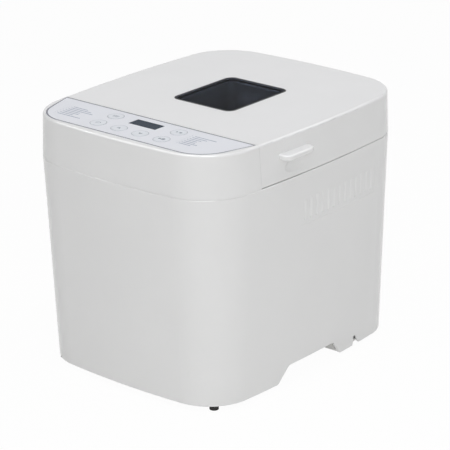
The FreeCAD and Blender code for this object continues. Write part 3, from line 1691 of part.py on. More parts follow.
def pan_handle():
    body = new_body("pan_handle", oven_middle)
    ear_end = S.pan_width / 2 + S.pan_rim / 2 + S.bail_ear / 2
    leg = ear_end + S.fit + S.bail_bend
    tip = ear_end - S.bail_ear * 2
    bend = leg - S.bail_bend
    reach = S.pan_depth / 2
    far_x = leg - S.bail_corner
    far_y = reach - S.bail_corner
    zero = as_size(0.0)
    path = Profile(body, "bail_path", lift=bail_level)
    runs = [
        path.line((-tip, zero), (-bend, zero)),
        path.arc(-bend, S.bail_bend, S.bail_bend, 180, 270),
        path.line((-leg, S.bail_bend), (-leg, far_y)),
        path.arc(-far_x, far_y, S.bail_corner, 90, 180),
        path.line((-far_x, reach), (far_x, reach)),
        path.arc(far_x, far_y, S.bail_corner, 0, 90),
        path.line((leg, far_y), (leg, S.bail_bend)),
        path.arc(bend, S.bail_bend, S.bail_bend, 270, 360),
        path.line((bend, zero), (tip, zero)),
    ]
    chain(path, runs, {1, 3, 5, 7})
    path.fix(runs[0], START, -tip, zero)
    path.fix(runs[-1], END, tip, zero)
    section = Profile(body, "bail_section", "YZ_Plane", -tip)
    section.circle(zero, bail_level, S.bail_wire)
    pipe(body, "bail_tube", section, path)


def paddle():
    bar_bottom = shaft_top + S.free_gap
    shaft = turned("pan_shaft", oven_middle, rod(S.pan_shaft_radius, bar_bottom, pan_shaft_top))
    bar = Profile(shaft, "bar_outline", lift=bar_bottom)
    bar.block(as_size(0.0), as_size(0.0), S.dog_width, S.coupling_radius * 2 - S.dog_width)
    pad(shaft, "bar", bar, S.dog_height / 2)
    hub_bottom = seal_top + S.fit
    hub_top = pan_shaft_top + S.paddle_gauge
    bore = S.pan_shaft_radius + S.running_fit
    hub = turned("kneading_paddle", oven_middle, [
        (bore, hub_bottom),
        (S.paddle_hub, hub_bottom),
        (S.paddle_neck, hub_top),
        (as_size(0.0), hub_top),
        (as_size(0.0), pan_shaft_top + S.fit),
        (bore, pan_shaft_top + S.fit),
    ])
    low = pan_floor + S.paddle_gauge / 2
    blade = Profile(hub, "blade_outline", "XZ_Plane", -(S.paddle_gauge / 2))
    root = (S.paddle_hub + bore) / 2
    blade.polygon([
        (S.paddle_hub, low),
        (S.paddle_reach, low),
        (S.paddle_tip, low + S.paddle_shoulder),
        (root, low + S.paddle_height),
        (root, hub_bottom),
        (S.paddle_hub, hub_bottom),
    ])
    pad(hub, "blade", blade, S.paddle_gauge)


def build():
    cap = upper_cap()
    hollow = upper_hollow()
    outer_case()
    base_plate()
    rubber_feet()
    cord_gland()
    front_console(cap, hollow)
    control_overlay()
    panel_parts()
    push_keys()
    lid_shell(cap, hollow)
    lid_window()
    lid_liner()
    hinges()
    top_deck()
    oven_chamber()
    heat_shield()
    heating_element()
    element_bushes()
    chassis_plate()
    chamber_posts()
    drive_train()
    drive_belt()
    motor()
    run_capacitor()
    power_board()
    pan_seat()
    bread_pan()
    pan_fittings()
    pan_handle()
    paddle()
    doc.recompute()


def check(thing):
    failed = {"Invalid", "Error"} & set(thing.State)
    if failed:
        raise RuntimeError(f"{thing.Label} is {thing.State}")


def export():
    for thing in doc.Objects:
        check(thing)
    for piece in PIECES:
        if piece.Shape.isNull() or not piece.Shape.isValid():
            raise RuntimeError(f"{piece.Label} has no valid shape")
    os.makedirs("parts", exist_ok=True)
    for piece in PIECES:
        piece.Shape.exportStep(f"parts/{piece.Label}.step")
        print(f"{piece.Label}: {len(piece.Shape.Solids)} solid, {piece.Shape.Volume:.0f} cubic mm")


build()
export()
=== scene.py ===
# %% [markdown]
# # A bread machine
# The machine is a white moulded housing with a sloping console in front and a hinged lid behind it.
# Under the lid are a bright oven, a dark pan, its wire handle and a kneading paddle.
# The solids come packed from the drawing, so this lesson only adds what a drawing can't say: the finishes,
# the printing on the control panel, the small screws, the light and the camera.

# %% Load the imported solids
import math

import bpy
import numpy as np
from mathutils import Matrix, Vector


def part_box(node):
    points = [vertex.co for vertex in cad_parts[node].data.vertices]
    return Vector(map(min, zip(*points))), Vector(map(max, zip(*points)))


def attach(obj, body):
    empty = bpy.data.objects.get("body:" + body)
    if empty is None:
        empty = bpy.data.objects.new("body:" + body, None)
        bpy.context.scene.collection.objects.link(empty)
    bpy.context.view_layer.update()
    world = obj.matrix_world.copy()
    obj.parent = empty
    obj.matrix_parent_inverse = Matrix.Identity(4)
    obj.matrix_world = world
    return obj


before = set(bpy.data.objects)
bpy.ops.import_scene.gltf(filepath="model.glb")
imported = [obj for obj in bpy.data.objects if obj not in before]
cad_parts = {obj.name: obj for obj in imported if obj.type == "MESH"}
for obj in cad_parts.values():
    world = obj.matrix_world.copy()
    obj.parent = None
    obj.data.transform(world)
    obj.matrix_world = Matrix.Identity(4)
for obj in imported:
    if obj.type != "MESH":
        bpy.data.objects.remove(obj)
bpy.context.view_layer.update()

MM = 0.001
scene = bpy.context.scene

# %% [markdown]
# ## Tools for finishes
# A paint chart gives colours as sRGB hex values, while a renderer adds light in linear numbers.
# One function turns the first into the second.
# Another adds a shader node, sets its options and joins its inputs.
# The nodes could be joined by hand in the shader editor, but in code each finish reads as a recipe.

# %% Colour and node helpers
SHADER = "Principled BSDF"


def linear(code):
    """An sRGB hex colour as linear red, green, blue and alpha.

    A dark channel is divided by 12.92, and any other is (channel + 0.055) / 1.055 to the power 2.4.
    """
    channels = np.array([int(code[i:i + 2], 16) for i in (1, 3, 5)]) / 255
    dark = channels / 12.92
    bright = ((channels + 0.055) / 1.055) ** 2.4
    return (*np.where(channels <= 0.04045, dark, bright).tolist(), 1.0)


def add_node(tree, kind, settings=None, inputs=None):
    """Adds a node, sets its options, and gives each named input a value or a link from another socket."""
    made = tree.nodes.new(kind)
    for name, value in (settings or {}).items():
        setattr(made, name, value)
    for name, value in (inputs or {}).items():
        if isinstance(value, bpy.types.NodeSocket):
            tree.links.new(value, made.inputs[name])
        else:
            made.inputs[name].default_value = value
    return made


def new_finish(name, **sockets):
    """A material with one Principled shader, whose constant values are set on its own sockets."""
    material = bpy.data.materials.new(name)
    material.use_nodes = True
    shader = material.node_tree.nodes[SHADER]
    for socket, value in sockets.items():
        shader.inputs[socket.replace("_", " ")].default_value = value
    return material


def per_millimetre(size):
    """The scale of a noise whose features are this many millimetres wide, on coordinates in metres."""
    return 1 / (size * MM)


print("white of the housing, linear:", linear("#EDEDED"))

# %% [markdown]
# ## Surfaces that are never quite even
# A moulded, pressed or plated surface differs a little from place to place: its gloss wanders over a few
# centimetres, and close up it has a fine grain.
# A picture of a surface could be wrapped round each part, but noise has no seams and keeps its real size.
# The same recipe serves most finishes, with all its sizes in millimetres.

# %% A grain recipe
NOISE_SPAN = (0.3, 0.7)  # most values of a noise lie between these
MIX_A, MIX_B, MIX_RESULT = 6, 7, 2  # a colour mix's sockets, by number because their names repeat


def add_grain(material, colours, patch, rough, grain, depth, stretch=(1, 1, 1)):
    """Colour and gloss follow one wide noise, and the bump follows a fine one.

    colours are the hex colours at the two ends of the wide noise. patch is that noise's size, grain is the
    fine one's size and depth is the grain's height, all in millimetres. rough holds the lowest and highest
    roughness. stretch squeezes the pattern along an axis, which turns the grain into brushed lines.
    """
    tree = material.node_tree
    place = add_node(tree, "ShaderNodeTexCoord")
    mapped = add_node(
        tree, "ShaderNodeMapping", inputs={"Vector": place.outputs["Object"], "Scale": stretch},
    )
    wide = add_node(
        tree, "ShaderNodeTexNoise",
        inputs={
            "Vector": mapped.outputs["Vector"], "Scale": per_millimetre(patch),
            "Detail": 3.0, "Roughness": 0.5,
        },
    )
    tint = add_node(
        tree, "ShaderNodeMix", {"data_type": "RGBA"},
        {"Factor": wide.outputs["Fac"], MIX_A: linear(colours[0]), MIX_B: linear(colours[1])},
    )
    gloss = add_node(
        tree, "ShaderNodeMapRange",
        inputs={
            "Value": wide.outputs["Fac"], "From Min": NOISE_SPAN[0], "From Max": NOISE_SPAN[1],
            "To Min": rough[0], "To Max": rough[1],
        },
    )
    fine = add_node(
        tree, "ShaderNodeTexNoise",
        inputs={"Vector": mapped.outputs["Vector"], "Scale": per_millimetre(grain), "Detail": 2.0},
    )
    bump = add_node(
        tree, "ShaderNodeBump",
        inputs={"Height": fine.outputs["Fac"], "Strength": 1.0, "Distance": depth * MM},
    )
    shader = tree.nodes[SHADER]
    tree.links.new(tint.outputs[MIX_RESULT], shader.inputs["Base Color"])
    tree.links.new(gloss.outputs["Result"], shader.inputs["Roughness"])
    tree.links.new(bump.outputs["Normal"], shader.inputs["Normal"])
    return tint


def grained_finish(name, colours, patch, rough, grain, depth, stretch=(1, 1, 1), **sockets):
    """A finish that is made of the grain recipe alone."""
    material = new_finish(name, **sockets)
    add_grain(material, colours, patch, rough, grain, depth, stretch)
    return material


print("noise scale for a grain of one millimetre:", per_millimetre(1))

# %% [markdown]
# ## Plastics
# The housing is ABS, a plastic that takes the polish of its mould.
# The base, the deck and small parts inside are plainer plastics, and the boards are a green laminate.
# Each could have nodes of its own, but they differ in colour, gloss and grain alone.
# So one recipe with other numbers is enough.
# The grain of a real moulding is finer than the picture can show, so it is drawn at about a millimetre.

# %% Plastic finishes
# Nearly white and satin, with a soft broad highlight.
white_abs = grained_finish(
    "moulded_white_abs", ("#E9E9E9", "#EDEDED"),
    patch=70, rough=(0.18, 0.23), grain=1.4, depth=0.0015, IOR=1.53,
)
# Cooler and duller than the housing.
key_abs = grained_finish(
    "moulded_key_abs", ("#E1E5EB", "#E6E9EE"),
    patch=12, rough=(0.34, 0.40), grain=0.6, depth=0.002, IOR=1.53,
)
# A dull, slightly waxy white.
base_plastic = grained_finish(
    "white_polypropylene", ("#E0E0DE", "#E6E6E4"),
    patch=40, rough=(0.45, 0.55), grain=0.9, depth=0.01, IOR=1.49,
)
# A light grey with a low sheen.
deck_plastic = grained_finish(
    "light_grey_heatproof_nylon", ("#CFCFCC", "#D6D6D3"),
    patch=50, rough=(0.38, 0.46), grain=0.8, depth=0.006, IOR=1.53,
)
# Black with a low sheen.
black_plastic = grained_finish(
    "black_nylon", ("#1B1B1C", "#232324"),
    patch=14, rough=(0.40, 0.52), grain=0.7, depth=0.01, IOR=1.53,
)
# Smooth, shiny and white.
can_plastic = grained_finish(
    "white_capacitor_can", ("#D9D9D6", "#E2E2DF"),
    patch=20, rough=(0.25, 0.32), grain=1.0, depth=0.004, IOR=1.5,
)
# Deep green under a thin varnish.
board_laminate = grained_finish(
    "green_board_laminate", ("#0F4A2A", "#155A33"),
    patch=6, rough=(0.3, 0.45), grain=0.4, depth=0.004, IOR=1.55,
)
print("plastics:", len(bpy.data.materials))

# %% [markdown]
# ## Rubber and ceramic
# The feet, the seal and the belt are rubber, and so is the gasket round the window.
# The bushes of the heating element are ceramic, because no plastic stands its heat.
# Rubber could be a black plastic, but its soft skin scatters light, so it gets a higher roughness.

# %% Rubber and ceramic finishes
# Nearly black, with hardly any gloss.
foot_rubber = grained_finish(
    "dark_foot_rubber", ("#1E1D1C", "#292827"),
    patch=5, rough=(0.75, 0.9), grain=0.5, depth=0.03, IOR=1.52,
)
# Black, with a dull skin.
black_rubber = grained_finish(
    "black_silicone", ("#141416", "#1C1C1F"),
    patch=9, rough=(0.55, 0.7), grain=0.6, depth=0.01, IOR=1.42,
)
# The same in grey.
gasket_rubber = grained_finish(
    "grey_silicone", ("#94969B", "#9C9EA3"),
    patch=9, rough=(0.55, 0.7), grain=0.6, depth=0.01, IOR=1.42,
)
# Ivory, with a thin glaze.
bush_ceramic = grained_finish(
    "ivory_steatite_ceramic", ("#D9D2C2", "#E2DCCD"),
    patch=8, rough=(0.28, 0.36), grain=0.5, depth=0.006, IOR=1.6,
)
print("with rubber and ceramic:", len(bpy.data.materials))

# %% [markdown]
# ## Metals
# The oven, lid liner and pan seat are aluminised sheet, rolled so that its grain runs one way.
# Pins and posts are zinc plated, castings are dull, and the heating tube has gone dark from heat.
# A metal could be drawn as a grey plastic, but then nothing would mirror in it.
# A real one has no diffuse colour, so its base colour here is the tint of its reflection.

# %% Metal finishes
# Its gloss runs in long faint lines.
bright_sheet = grained_finish(
    "aluminised_sheet", ("#CBCBC9", "#D3D3D1"),
    patch=6, rough=(0.36, 0.42), grain=0.9, depth=0.004, stretch=(1, 0.05, 0.05), Metallic=1.0,
)
# Duller, because it is hotter in use, with upright lines.
oven_sheet = grained_finish(
    "aluminised_oven_sheet", ("#D2D2D0", "#DADAD8"),
    patch=6, rough=(0.50, 0.58), grain=0.9, depth=0.004, stretch=(1, 1, 0.05), Metallic=1.0,
)
# A bright plate that is slightly patchy.
zinc_steel = grained_finish(
    "zinc_plated_steel", ("#B5B6B6", "#C9CAC9"),
    patch=7, rough=(0.26, 0.36), grain=0.4, depth=0.004, Metallic=1.0,
)
# Smooth and bright.
polished_wire = grained_finish(
    "nickel_plated_wire", ("#C6C5C2", "#D5D4D1"),
    patch=9, rough=(0.12, 0.2), grain=0.5, depth=0.003, Metallic=1.0,
)
# Grey and grainy.
cast_alloy = grained_finish(
    "die_cast_alloy", ("#989A9B", "#A9ABAC"),
    patch=6, rough=(0.42, 0.55), grain=0.7, depth=0.02, Metallic=1.0,
)
# Warm and matt, because it is pressed from powder.
bronze = grained_finish(
    "sintered_bronze", ("#9C7748", "#B08A58"),
    patch=4, rough=(0.45, 0.6), grain=0.35, depth=0.012, Metallic=1.0,
)
# Red-brown under its varnish.
copper = grained_finish(
    "varnished_copper_wire", ("#8E4A25", "#A95B30"),
    patch=3, rough=(0.25, 0.4), grain=0.5, depth=0.05, Metallic=1.0,
)
# A stack of thin sheets, so its grain lies in layers.
stator_steel = grained_finish(
    "laminated_steel", ("#5B5D60", "#6E7074"),
    patch=10, rough=(0.4, 0.5), grain=0.5, depth=0.03, stretch=(0.2, 0.2, 1), Metallic=1.0,
)
# Dark, and turned brown and blue by heat.
element_tube = grained_finish(
    "heat_blued_steel_tube", ("#37322F", "#454A55"),
    patch=16, rough=(0.35, 0.5), grain=0.6, depth=0.01, Metallic=1.0,
)
print("with metals:", len(bpy.data.materials))

# %% [markdown]
# ## The pan's coating
# The pan and the paddle are pressed and cast alloy under a sprayed non-stick coat.
# It is almost black, with a fine light fleck, and it shines softly like a cooking pan.
# The flecks could be small pieces of mesh, but there are thousands, so they are a Voronoi pattern.
# A cell of it becomes a fleck where its own random value is high, and the fleck ends near the cell's centre.

# %% Non-stick coating
FLECK_CELL = 1.1  # in millimetres
FLECK_VALUE = (0.90, 0.94)  # a cell starts to be a fleck at the first value and is one from the second
FLECK_EDGE = (0.18, 0.30)  # a fleck fades between these distances from its cell's centre
pan_coat = new_finish("flecked_non_stick_coat", IOR=1.45, Coat_Weight=0.25, Coat_Roughness=0.2)
tint = add_grain(
    pan_coat, ("#26272A", "#303135"), patch=30, rough=(0.34, 0.42), grain=0.5, depth=0.006,
)
tree = pan_coat.node_tree
place = add_node(tree, "ShaderNodeTexCoord")
cells = add_node(
    tree, "ShaderNodeTexVoronoi",
    inputs={"Vector": place.outputs["Object"], "Scale": per_millimetre(FLECK_CELL), "Randomness": 1.0},
)
value = add_node(tree, "ShaderNodeSeparateColor", inputs={"Color": cells.outputs["Color"]})
rare = add_node(
    tree, "ShaderNodeMapRange",
    inputs={
        "Value": value.outputs["Red"], "From Min": FLECK_VALUE[0], "From Max": FLECK_VALUE[1],
        "To Min": 0.0, "To Max": 1.0,
    },
)
core = add_node(
    tree, "ShaderNodeMapRange",
    inputs={
        "Value": cells.outputs["Distance"], "From Min": FLECK_EDGE[0], "From Max": FLECK_EDGE[1],
        "To Min": 1.0, "To Max": 0.0,
    },
)
fleck = add_node(
    tree, "ShaderNodeMath", {"operation": "MULTIPLY"},
    {0: rare.outputs["Result"], 1: core.outputs["Result"]},
)
flecked = add_node(
    tree, "ShaderNodeMix", {"data_type": "RGBA"},
    {"Factor": fleck.outputs["Value"], MIX_A: tint.outputs[MIX_RESULT], MIX_B: linear("#73757A")},
)
tree.links.new(flecked.outputs[MIX_RESULT], tree.nodes[SHADER].inputs["Base Color"])
print("nodes in the coating:", len(tree.nodes))

# %% [markdown]
# ## Film, display and glass
# The control panel is a pale polyester film, and the display is a liquid crystal under a thin lens.
# The window is smoked glass: it lets a little light through to the dark oven, so it looks nearly black.
# It could be drawn as a black surface, but real transmission shows how deep the window is.

# %% Film, display and glass finishes
# Smooth and slightly bluish, with a low sheen.
panel_film = grained_finish(
    "pale_polyester_film", ("#E4E6EC", "#E8EAF0"),
    patch=35, rough=(0.30, 0.36), grain=0.7, depth=0.0015, IOR=1.57,
)
# A slate grey with little glare, so its IOR is low.
display_lens = grained_finish(
    "slate_display_lens", ("#2C3947", "#313E4C"),
    patch=9, rough=(0.16, 0.22), grain=0.8, depth=0.0008, IOR=1.09,
)
# Grey, even and coated against glare, so its IOR is low too.
smoked_glass = new_finish(
    "smoked_window_glass",
    Base_Color=linear("#959BA7"), Roughness=0.03, IOR=1.035, Transmission_Weight=1.0,
)
# Clear and even, with a faint green.
clear_glass = new_finish(
    "clear_oven_glass",
    Base_Color=linear("#E3EAE8"), Roughness=0.02, IOR=1.47, Transmission_Weight=1.0,
)
print("with film and glass:", len(bpy.data.materials))

# %% [markdown]
# ## The window's well
# Under the glass is a short enamelled tube that leads down to the liner.
# Its colour goes from grey at the top to nearly black at the bottom: painted shade, for the light that fades
# down the well.
# A second material on the lower faces would end in a hard line, so the colour is a blend along the height:
# 0 at the lower edge of the piece and 1 at its upper edge.

# %% Enamel with painted shade
well_enamel = new_finish("enamel_with_painted_shade", IOR=1.5)
tint = add_grain(
    well_enamel, ("#84868A", "#8C8E92"), patch=20, rough=(0.45, 0.55), grain=0.8, depth=0.004,
)
well_low, well_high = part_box("window_well")
tree = well_enamel.node_tree
place = add_node(tree, "ShaderNodeTexCoord")
axes = add_node(tree, "ShaderNodeSeparateXYZ", inputs={"Vector": place.outputs["Object"]})
rise = add_node(
    tree, "ShaderNodeMapRange",
    inputs={
        "Value": axes.outputs["Z"], "From Min": well_low.z, "From Max": well_high.z,
        "To Min": 0.0, "To Max": 1.0,
    },
)
# Painted shade: the well's grey darkens to nearly black towards its lower edge.
painted_depth_shade = add_node(
    tree, "ShaderNodeMix", {"data_type": "RGBA"},
    {"Factor": rise.outputs["Result"], MIX_A: linear("#1A1918"), MIX_B: tint.outputs[MIX_RESULT]},
)
tree.links.new(painted_depth_shade.outputs[MIX_RESULT], tree.nodes[SHADER].inputs["Base Color"])
print("height of the well in millimetres:", round((well_high.z - well_low.z) / MM, 1))

# %% [markdown]
# ## Dressing the solids
# Each solid keeps its own mesh and only gets a finish.
# The finish could go into the mesh, but that belongs to the drawing, so it goes into the object's own slot.

# %% Hand the finishes out
FINISHES = {
    white_abs: ["outer_case", "front_console", "lid_shell"],
    base_plastic: ["base_plate"],
    deck_plastic: ["top_deck"],
    black_plastic: ["cord_gland", "lcd_module", "key_switches", "power_parts", "drive_pulley"],
    can_plastic: ["run_capacitor"],
    foot_rubber: [f"rubber_foot_{end}_{side}" for end in ("front", "rear") for side in ("left", "right")],
    black_rubber: ["shaft_seal", "drive_belt"],
    bush_ceramic: ["element_bushes"],
    gasket_rubber: ["window_gasket"],
    board_laminate: ["control_board", "power_board"],
    key_abs: ["menu_key", "crust_key", "loaf_size_key", "start_stop_key", "time_up_key", "time_down_key"],
    bright_sheet: ["lid_liner"],
    oven_sheet: ["oven_chamber", "heat_shield", "pan_seat"],
    well_enamel: ["window_well"],
    zinc_steel: [
        "hinge_brackets", "hinge_pins", "chassis_plate", "chamber_posts", "motor_bolts", "drive_shaft",
        "pan_shaft", "pan_ears", "oven_sensor",
    ],
    polished_wire: ["pan_handle"],
    cast_alloy: ["bearing_housing", "drive_coupling", "pan_foot", "motor_end_caps", "motor_pulley"],
    bronze: ["drive_bush", "pan_bush"],
    copper: ["motor_windings"],
    stator_steel: ["motor_stator", "motor_rotor"],
    element_tube: ["heating_element"],
    pan_coat: ["bread_pan", "kneading_paddle"],
    panel_film: ["control_overlay"],
    display_lens: ["lcd_lens"],
    smoked_glass: ["window_glass"],
    clear_glass: ["inner_glass"],
}
for finish, names in FINISHES.items():
    for name in names:
        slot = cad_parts[name].material_slots[0]
        slot.link = "OBJECT"
        slot.material = finish
dressed = {name for names in FINISHES.values() for name in names}
print("solids without a finish:", sorted(set(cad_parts) - dressed))

# %% [markdown]
# ## Thin print
# Print is a layer of ink, here a few hundredths of a millimetre thick.
# It could be a picture on the panel, but a mesh stays crisp at any distance.
# A line of ink is a ring between two outlines with the same number of points.
# It is worked out as one array: the path runs down the rows, and the corners of its section are the columns.

# %% Rings of ink
INK = 0.03 * MM


def put_mesh(name, points, faces, body, finish):
    """Makes a mesh object from an array of points and a list of faces, and lets it ride on a body."""
    mesh = bpy.data.meshes.new(name)
    mesh.from_pydata(np.asarray(points).tolist(), [], [list(face) for face in faces])
    mesh.materials.append(finish)
    piece = bpy.data.objects.new(name, mesh)
    scene.collection.objects.link(piece)
    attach(piece, body)


def loop_quads(rows, columns):
    """Quads of a grid that closes on itself both ways.

    Cell (i, j) joins row i to row i + 1 and column j to column j + 1, and the last of each to the first.
    """
    i, j = np.meshgrid(np.arange(rows), np.arange(columns), indexing="ij")
    row = i * columns
    next_row = (i + 1) % rows * columns
    next_j = (j + 1) % columns
    return np.stack([row + j, next_row + j, next_row + next_j, row + next_j], axis=-1).reshape(-1, 4)


def ring_of_ink(inner, outer, level):
    """A closed ring between two outlines: its section is a rectangle from INK below a level to INK above."""
    section = np.empty((len(inner), 4, 3))
    section[:, [0, 3], :2] = inner[:, None]
    section[:, [1, 2], :2] = outer[:, None]
    section[:, :2, 2] = level - INK
    section[:, 2:, 2] = level + INK
    return section.reshape(-1, 3), loop_quads(len(inner), 4)


def arc_points(centre, radius, start, end, count):
    """Points on a circle about a centre, at even angles in degrees from start to end."""
    angle = np.radians(np.linspace(start, end, count))
    return np.stack([centre[0] + radius * np.cos(angle), centre[1] + radius * np.sin(angle)], axis=1)


print("thickness of print in millimetres:", 2 * INK / MM)

# %% [markdown]
# ## The panel's border
# A grey line runs round the film, which has a straight back edge along the lid, sides that lean inwards,
# and two wide round front corners.
# A smaller copy of the film would leave a line of uneven width.
# So the drawing's own construction gives the outline at any distance inside the edge.

# %% Border of the panel
film_low, film_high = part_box("control_overlay")
FILM_TOP = film_high.z
MIDDLE_X = (film_low.x + film_high.x) / 2
BACK_HALF = (film_high.x - film_low.x) / 2
FRONT_HALF = 81.0 * MM
FRONT_RADIUS = 40.0 * MM
FRONT_STEPS = 60
BORDER_INNER = 1.9 * MM
BORDER_OUTER = 0.15 * MM
# Screen-printed ink: dull and faintly mottled.
border_ink = grained_finish(
    "grey_border_ink", ("#73747E", "#757680"),
    patch=6, rough=(0.42, 0.48), grain=0.4, depth=0.001, IOR=1.5,
)


def panel_outline(inset):
    """Front arc, leaning side, back corner, and the same mirrored: the side is tangent to the arc."""
    back = film_high.y - inset
    radius = FRONT_RADIUS - inset
    wide = BACK_HALF - inset
    centre_y = film_low.y + inset + radius
    rise = back - centre_y
    run = wide - FRONT_HALF
    lean = math.degrees(math.atan2(rise, run) - math.acos(radius / math.hypot(rise, run)))
    arc = arc_points((FRONT_HALF, centre_y), radius, -90, lean, FRONT_STEPS)
    half = np.concatenate([arc, [[wide, back]]])
    mirrored = half[::-1] * np.array([-1, 1])
    return np.concatenate([half, mirrored]) + np.array([MIDDLE_X, 0])


points, faces = ring_of_ink(panel_outline(BORDER_INNER), panel_outline(BORDER_OUTER), FILM_TOP)
put_mesh("panel_border", points, faces, "housing", border_ink)
print("points of the panel's border:", len(points))

# %% [markdown]
# ## The window's border
# A dark line runs along the edge of the glass: painted shadow, for the shade in the gap round the glass.
# It could be a second material of the glass, but that is a solid of the drawing, so a thin ring lies on it.
# The ring runs between two rectangles with round corners, one a little inside the other.

# %% Border of the window
glass_low, glass_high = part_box("window_glass")
GLASS_CORNER = 9.8 * MM
GLASS_CORNER_STEPS = 12
GLASS_BORDER = 2.2 * MM
GLASS_EDGE = 0.05 * MM
# Painted shadow: black, satin and even, with little glare.
gap_shadow_paint = grained_finish(
    "painted_gap_shadow", ("#1C1D20", "#1E1F22"),
    patch=8, rough=(0.32, 0.38), grain=0.4, depth=0.001, IOR=1.2,
)


def window_outline(inset):
    """A rectangle with a quarter circle at each corner, at a distance inside the edge of the glass."""
    x = (glass_high.x - glass_low.x) / 2 - GLASS_CORNER
    y = (glass_high.y - glass_low.y) / 2 - GLASS_CORNER
    middle = np.array([glass_low.x + glass_high.x, glass_low.y + glass_high.y]) / 2
    corners = [(x, y, 0), (-x, y, 90), (-x, -y, 180), (x, -y, 270)]
    arcs = [
        arc_points((corner_x, corner_y), GLASS_CORNER - inset, turn, turn + 90, GLASS_CORNER_STEPS)
        for corner_x, corner_y, turn in corners
    ]
    return np.concatenate(arcs) + middle


# A ring of painted shadow along the glass's edge, where the gap would be dark.
points, faces = ring_of_ink(window_outline(GLASS_BORDER), window_outline(GLASS_EDGE), glass_high.z)
put_mesh("window_gap_shadow", points, faces, "lid", gap_shadow_paint)
print("border of the glass in millimetres:", round(GLASS_BORDER / MM, 1))

# %% [markdown]
# ## Key rings
# A fine grey ring is printed round each key, just outside the gap in the film.
# Blender's torus would stand too high, so it is a flat ring of ink between two circles.

# %% Rings round the keys
KEYS = FINISHES[key_abs]
RING_INNER = 8.62 * MM
RING_OUTER = 9.05 * MM
RING_STEPS = 96
# The border's ink in a paler grey.
ring_ink = grained_finish(
    "pale_grey_ring_ink", ("#A2A7B0", "#A4A9B2"),
    patch=4, rough=(0.42, 0.48), grain=0.3, depth=0.001, IOR=1.5,
)


def circle_points(centre, radius):
    """A whole circle, without its first point repeated at the end."""
    return arc_points(centre, radius, 0, 360, RING_STEPS + 1)[:-1]


key_centres = {}
for name in KEYS:
    low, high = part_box(name)
    centre = ((low.x + high.x) / 2, (low.y + high.y) / 2)
    key_centres[name] = centre
    points, faces = ring_of_ink(
        circle_points(centre, RING_INNER), circle_points(centre, RING_OUTER), FILM_TOP,
    )
    put_mesh(f"{name}_ring", points, faces, "housing", ring_ink)
print("key centres:", {name: tuple(round(v / MM, 1) for v in xy) for name, xy in key_centres.items()})

# %% [markdown]
# ## Marks of ink
# A mark is a flat plate: an outline at the bottom, the same at the top, and a wall of quads between them.
# It could be a curve with an Extrude setting, but a curve has to become a mesh before it is exported.
# Arrays give the mesh at once, and several plates join into one.

# %% Plates of ink
def join_parts(parts):
    """Several pairs of points and faces as one: each part's faces are counted on from the points before."""
    starts = np.cumsum([0] + [len(points) for points, _ in parts])
    faces = [
        [int(corner + start) for corner in face]
        for (_, part_faces), start in zip(parts, starts) for face in part_faces
    ]
    return np.concatenate([points for points, _ in parts]), faces


def plates_of_ink(outlines, bottom, top):
    """One plate for each outline: a floor at the bottom, a roof at the top and a wall between."""
    plates = []
    for outline in outlines:
        count = len(outline)
        layers = np.empty((2, count, 3))
        layers[:, :, :2] = outline
        layers[:, :, 2] = np.array([[bottom], [top]])
        index = np.arange(count)
        following = (index + 1) % count
        walls = np.stack([index, following, following + count, index + count], axis=1)
        plates.append((layers.reshape(-1, 3), [index[::-1], index + count, *walls]))
    return join_parts(plates)


def bar_points(x, y, width, height):
    """A rectangle about its centre."""
    signs = np.array([(-1, -1), (1, -1), (1, 1), (-1, 1)])
    return np.array([x, y]) + signs * np.array([width, height]) / 2


print("points of one bar:", len(plates_of_ink([bar_points(0, 0, MM, MM)], -INK, INK)[0]))

# %% [markdown]
# ## Signs on the keys
# The keys carry plain signs: a list, a crust, a loaf, a start mark and two arrows.
# A font of symbols would differ from one computer to the next, so they are outlines from a few formulas.
# They ride on the keys, so they sink with them.

# %% Key signs
ARROW_SIZE = 5.0 * MM
ARROW_SHAPE = np.array([(-1.0, -0.6), (1.0, -0.6), (0.0, 0.9)]) / 2
QUARTER_TURN = np.array([(0, -1), (1, 0)])
MENU_PITCH = 1.7 * MM
MENU_BAR = (7.4 * MM, 0.8 * MM)
START_SIZE = 3.6 * MM
STOP_SIZE = 3.0 * MM
START_STEP = 2.4 * MM  # from the key's middle to the start mark and to the stop mark
LOAF_SIZE = 4.4 * MM
SMALL_LOAF = 0.7 * LOAF_SIZE
SMALL_LOAF_X = -2.6 * MM
LOAF_X, LOAF_Y = 1.8 * MM, 0.2 * MM
CRUST_RADII = (3.4 * MM, 2.6 * MM)
CRUST_Y = -1.2 * MM
CRUST_ENDS = (15, 165)  # in degrees
CRUST_BAR = (5.6 * MM, 0.6 * MM)
CRUST_BAR_Y = -1.5 * MM
SIGN_STEPS = 24
# Pad-printed ink: dull and grey.
sign_ink = grained_finish(
    "grey_sign_ink", ("#8C939E", "#8E95A0"),
    patch=3, rough=(0.47, 0.53), grain=0.3, depth=0.001, IOR=1.5,
)


def arrow(x, y, way):
    """A triangle that points to the back for way 1 and to the front for way -1."""
    return ARROW_SHAPE * ARROW_SIZE * way + np.array([x, y])


def loaf_outline(x, y, size):
    """A loaf from the end: a half circle and a narrower base, with all measures as shares of its size."""
    top = arc_points((x, y + 0.1 * size), 0.5 * size, 0, 180, SIGN_STEPS)
    base = np.array([(x - 0.42 * size, y - 0.45 * size), (x + 0.42 * size, y - 0.45 * size)])
    return np.concatenate([top, base])


